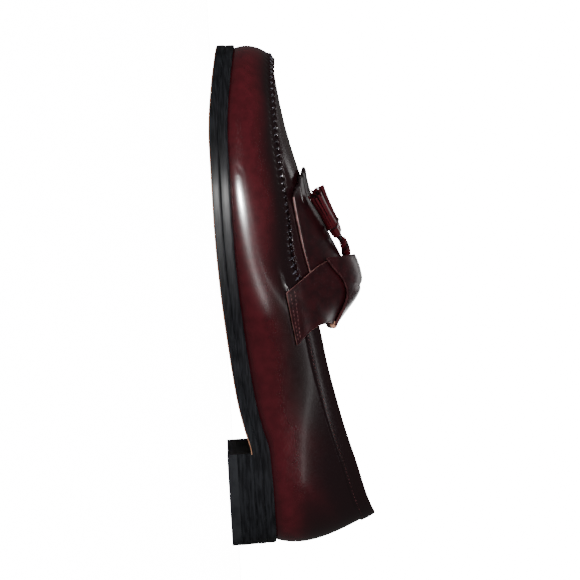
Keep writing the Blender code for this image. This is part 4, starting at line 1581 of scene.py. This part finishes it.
@dataclass
class Sole:
    """Insole, welt layer, outsole and stacked heel."""

    last: Last
    finishes: Finishes
    steps: int = 12
    breast_x: float = 57.0
    breast_hollow: float = 2.5
    top_piece: float = 5.5
    lift: float = 3.7
    underside: float = -0.35

    def plate(
        self, name: str, profile: Sequence[tuple[float, float]], bottom: Callable, top: Callable,
        materials: Sequence[bpy.types.Material], slot: Slot, node: str,
        choose: Callable[[Array, Array], int] | None = None,
    ) -> None:
        """One sole layer with a shaped edge.

        Args:
            name: Name of the piece.
            profile: Inset and height share of the edge, from bottom to top.
            bottom: Height of the under side at an x.
            top: Height of the upper side at an x.
            materials: Its materials.
            slot: The record's slot.
            node: The CAD node it stands for.
            choose: Gives a face's material.
        """
        at = self.last.even(self.steps)
        count = len(at)
        half = count // 2
        inner = [(profile[0][0] + gap, profile[0][1]) for gap in (12.0, 3.0)]
        outer = [(profile[-1][0] + gap, profile[-1][1]) for gap in (3.0, 12.0)]
        points = []
        for inset, share in [*inner, *profile, *outer]:
            plan = self.last.outline(at, inset)[0]
            low, high = bottom(plan[:, 0]), top(plan[:, 0])
            points.append(np.column_stack([plan, low + (high - low) * share]))
        levels = len(points)
        faces = ring_faces(levels, count, caps=False)
        start = (levels - 1) * count
        for i in range(half):
            pair = [i, i + 1, (count - i - 1) % count, (count - i) % count]
            kept = list(dict.fromkeys(pair))
            faces.append(tuple(reversed(kept)))
            faces.append(tuple(start + k for k in kept))
        points = np.vstack(points)
        dress(name, points, self.outward(points, faces), materials, slot, [node],
              choose=choose, sharp=55.0)

    @staticmethod
    def outward(points: Array, faces: Sequence[Sequence[int]]) -> Sequence[Sequence[int]]:
        """The faces, turned over where the volume inside them is below 0."""
        total = 0.0
        for face in faces:
            first = points[face[0]]
            for a, b in zip(face[1:-1], face[2:]):
                total += float(np.dot(first, np.cross(points[a], points[b])))
        return [tuple(reversed(f)) for f in faces] if total < 0.0 else faces

    def heel_plan(self, inset: float) -> Array:
        """Plan outline of the heel, with its hollowed front face."""
        at = self.last.even(self.steps)
        plan = self.last.outline(at, inset)[0]
        half = len(plan) // 2
        inner = [plan[i] for i in range(1, half) if plan[i][0] < self.breast_x - 0.3]
        outer = [plan[-i] for i in range(1, half) if plan[-i][0] < self.breast_x - 0.3]
        for side, step in ((inner, 1), (outer, -1)):
            after = plan[step * (len(side) + 1)]
            share = (self.breast_x - side[-1][0]) / (after[0] - side[-1][0])
            side.append(side[-1] + (after - side[-1]) * share)
        breast = []
        for f in np.linspace(0.0, 1.0, 22)[1:-1]:
            spot = inner[-1] + (outer[-1] - inner[-1]) * f
            hollow = self.breast_hollow * (1.0 - (2.0 * f - 1.0) ** 2)
            breast.append(np.array([spot[0] - hollow, spot[1]]))
        return np.array([plan[0], *inner, *breast, *reversed(outer)])

    def heel_layer(
        self, name: str, bottom: Callable, top: Callable, materials: Sequence,
        slot: Slot, node: str, inset: float = 0.0,
    ) -> None:
        """One layer of the heel with rounded edges."""
        rows = ((0.12, 0.0, 0.0), (0.03, 0.0, 0.04), (0.0, 0.0, 0.12), (0.0, 1.0, -0.12),
                (0.03, 1.0, -0.04), (0.12, 1.0, 0.0))
        points = []
        for gap, share, shift in rows:
            plan = self.heel_plan(inset + gap)
            low, high = bottom(plan[:, 0]), top(plan[:, 0])
            points.append(np.column_stack([plan, low + (high - low) * share + shift]))
        faces = ring_faces(len(rows), len(points[0]))
        points = np.vstack(points)
        dress(name, points, self.outward(points, faces), materials, slot, [node], sharp=60.0)

    def build(self) -> None:
        """Makes every layer of the sole and of the heel."""
        last, made = self.last, self.finishes

        def outsole_top(x: Array) -> Array:
            """Height of the outsole's upper side."""
            return last.bottom(x) + last.outsole_thick

        edge = ((0.5, 0.0), (0.2, 0.03), (0.05, 0.1), (0.0, 0.25), (0.0, 0.7), (0.1, 0.9),
                (0.3, 0.97), (0.5, 1.0))
        self.plate("outsole_leather", edge, last.bottom, outsole_top, [made.sole_edge, made.sole],
                   Slot.SOLE, "outsole",
                   choose=lambda c, n: int(n[2] < self.underside and c[0] > self.breast_x))
        welt = ((0.5, 0.0), (0.3, 0.03), (0.2, 0.1), (0.15, 0.4), (0.15, 0.75), (0.3, 0.92),
                (0.8, 1.0))
        self.plate("welt_leather", welt, outsole_top, lambda x: last.feather(x) + last.clear,
                   [made.sole_edge], Slot.EDGE, "midsole")
        inner = ((4.9, 0.0), (4.5, 0.2), (4.5, 0.8), (4.9, 1.0))
        self.plate("insole_leather", inner, lambda x: last.feather(x) + last.clear,
                   lambda x: last.feather(x) + last.clear + last.insole_thick, [made.lining],
                   Slot.SOLE, "insole")
        high = self.top_piece + last.clear + self.lift
        self.heel_layer("heel_top_rubber", lambda x: 0.0 * x, lambda x: self.top_piece + 0.0 * x,
                        [made.rubber], Slot.RUBBER, "heel_top_piece", 0.1)
        self.heel_layer("heel_lower_leather", lambda x: self.top_piece + 0.0 * x,
                        lambda x: high + 0.0 * x, [made.sole_edge], Slot.EDGE,
                        "heel_lift_lower", 0.0)
        self.heel_layer("heel_upper_leather", lambda x: high + 0.0 * x, last.bottom,
                        [made.sole_edge], Slot.EDGE, "heel_lift_upper", 0.1)


# Name, place and aim in metres, width and height, and watts of each lamp.
LAMPS = (
    ("key", (0.25, 0.55, 1.4), (0.02, 0.0, 0.04), (0.3, 0.2), 1.5),
    ("side", (-0.2, 1.0, 0.42), (-0.04, 0.0, 0.05), (0.5, 0.06), 0.28),
    ("fill", (0.08, 1.0, 0.22), (0.0, 0.0, 0.03), (0.8, 0.3), 14.0),
    ("low", (-0.018, 0.25, 0.009), (0.045, 0.05, 0.0145), (0.045, 0.006), 0.07),
    ("rear", (-0.1, -1.0, 0.5), (0.0, 0.0, 0.04), (0.6, 0.3), 2.5),
    ("top", (0.1, -0.9, 1.3), (0.0, 0.0, 0.04), (0.9, 0.4), 2.6),
)


@dataclass
class Studio:
    """White floor, soft lights and the camera of the photograph."""

    finishes: Finishes
    roll: float = math.radians(3.53)
    camera_at: tuple[float, float, float] = (128.5, 519.3, 4.0)
    target: tuple[float, float, float] = (147.6, 0.0, 43.0)
    lens: float = 54.0
    floor_reach: float = 4.0
    wall_y: float = -3.5
    wall_reach: float = 3.9
    low_spread: float = math.radians(24.0)

    def build(self) -> None:
        """Sets the stage."""
        self.floor()
        self.backdrop()
        self.world()
        lamps = {row[0]: self.light(*row) for row in LAMPS}
        lamps["key"].visible_glossy = False
        lamps["fill"].visible_glossy = False
        lamps["low"].data.spread = self.low_spread
        lamps["low"].visible_diffuse = False
        self.camera()

    def plane(self, name: str, corners: Sequence[Sequence[float]],
              material: bpy.types.Material) -> None:
        """One staged rectangle that throws no light on the shoe."""
        mesh = bpy.data.meshes.new(name)
        mesh.from_pydata([tuple(c) for c in corners], [], [(0, 1, 2, 3)])
        mesh.materials.append(material)
        piece = bpy.data.objects.new(name, mesh)
        bpy.context.scene.collection.objects.link(piece)
        piece.visible_diffuse = False
        piece.visible_glossy = False

    def floor(self) -> None:
        """A white floor that ends out of the photograph's sight."""
        reach = self.floor_reach
        self.plane("studio_floor", [(-reach, -reach, 0.0), (reach, -reach, 0.0),
                                    (reach, reach, 0.0), (-reach, reach, 0.0)],
                   self.finishes.floor)

    def backdrop(self) -> None:
        """A white wall behind the shoe, in the photograph's view only."""
        far, reach = self.wall_y, self.wall_reach
        self.plane("studio_wall", [(-reach, far, 0.001), (reach, far, 0.001),
                                   (reach, far, 2 * reach), (-reach, far, 2 * reach)],
                   self.finishes.wall)

    def world(self) -> None:
        """A dim even surround."""
        world = bpy.data.worlds.new("dim_surround")
        world.use_nodes = True
        shade = world.node_tree.nodes["Background"]
        shade.inputs["Color"].default_value = (1.0, 0.98, 0.97, 1.0)
        shade.inputs["Strength"].default_value = 0.1
        bpy.context.scene.world = world

    def light(self, name: str, at: Sequence[float], aim: Sequence[float],
              size: Sequence[float], power: float) -> bpy.types.Object:
        """One soft rectangular light.

        Args:
            name: Name of the light.
            at: Where it hangs, in metres.
            aim: Point it faces.
            size: Width and height.
            power: Strength in watts.

        Returns:
            The lamp.
        """
        data = bpy.data.lights.new(name, "AREA")
        data.shape = "RECTANGLE"
        data.size, data.size_y = size
        data.energy = power
        lamp = bpy.data.objects.new(name, data)
        way = Vector(aim) - Vector(at)
        lamp.matrix_world = Matrix.Translation(Vector(at)) @ way.to_track_quat(
            "-Z", "Y").to_matrix().to_4x4()
        lamp.visible_camera = False
        bpy.context.scene.collection.objects.link(lamp)
        return lamp

    def camera(self) -> None:
        """The photograph's view, rolled so that the toe points up."""
        at = Vector((np.array(self.camera_at) - MIDDLE) * MM)
        aim = Vector((np.array(self.target) - MIDDLE) * MM)
        back = (at - aim).normalized()
        up = Vector((math.cos(self.roll), 0.0, math.sin(self.roll)))
        right = up.cross(back).normalized()
        up = back.cross(right)
        data = bpy.data.cameras.new("photo_view")
        data.lens = self.lens
        data.sensor_width = 36.0
        data.clip_start = 0.01
        eye = bpy.data.objects.new("photo_view", data)
        eye.matrix_world = Matrix.Translation(at) @ Matrix((right, up, back)).transposed().to_4x4()
        bpy.context.scene.collection.objects.link(eye)
        bpy.context.scene.camera = eye


def main() -> None:
    """Builds every piece, then the stage."""
    logging.basicConfig(level=logging.INFO)
    last = Last()
    finishes = Finishes()
    Upper(last, finishes).build()
    form = Form(last)
    FringedFlap(form, finishes).build()
    Strap(form, finishes).build()
    near = ((177.6, 10.5, 72.4), (201.0, 24.4, 58.6))
    far = ((180.5, -1.5, 74.4), (208.5, 0.5, 63.1))
    Tassel("tassel_near_leather", "tassel_near", *near, finishes).build()
    Tassel("tassel_far_leather", "tassel_far", *far, finishes).build()
    Lace(finishes, near[0], far[0]).build()
    Sole(last, finishes).build()
    Studio(finishes).build()


if __name__ == "__main__":
    main()
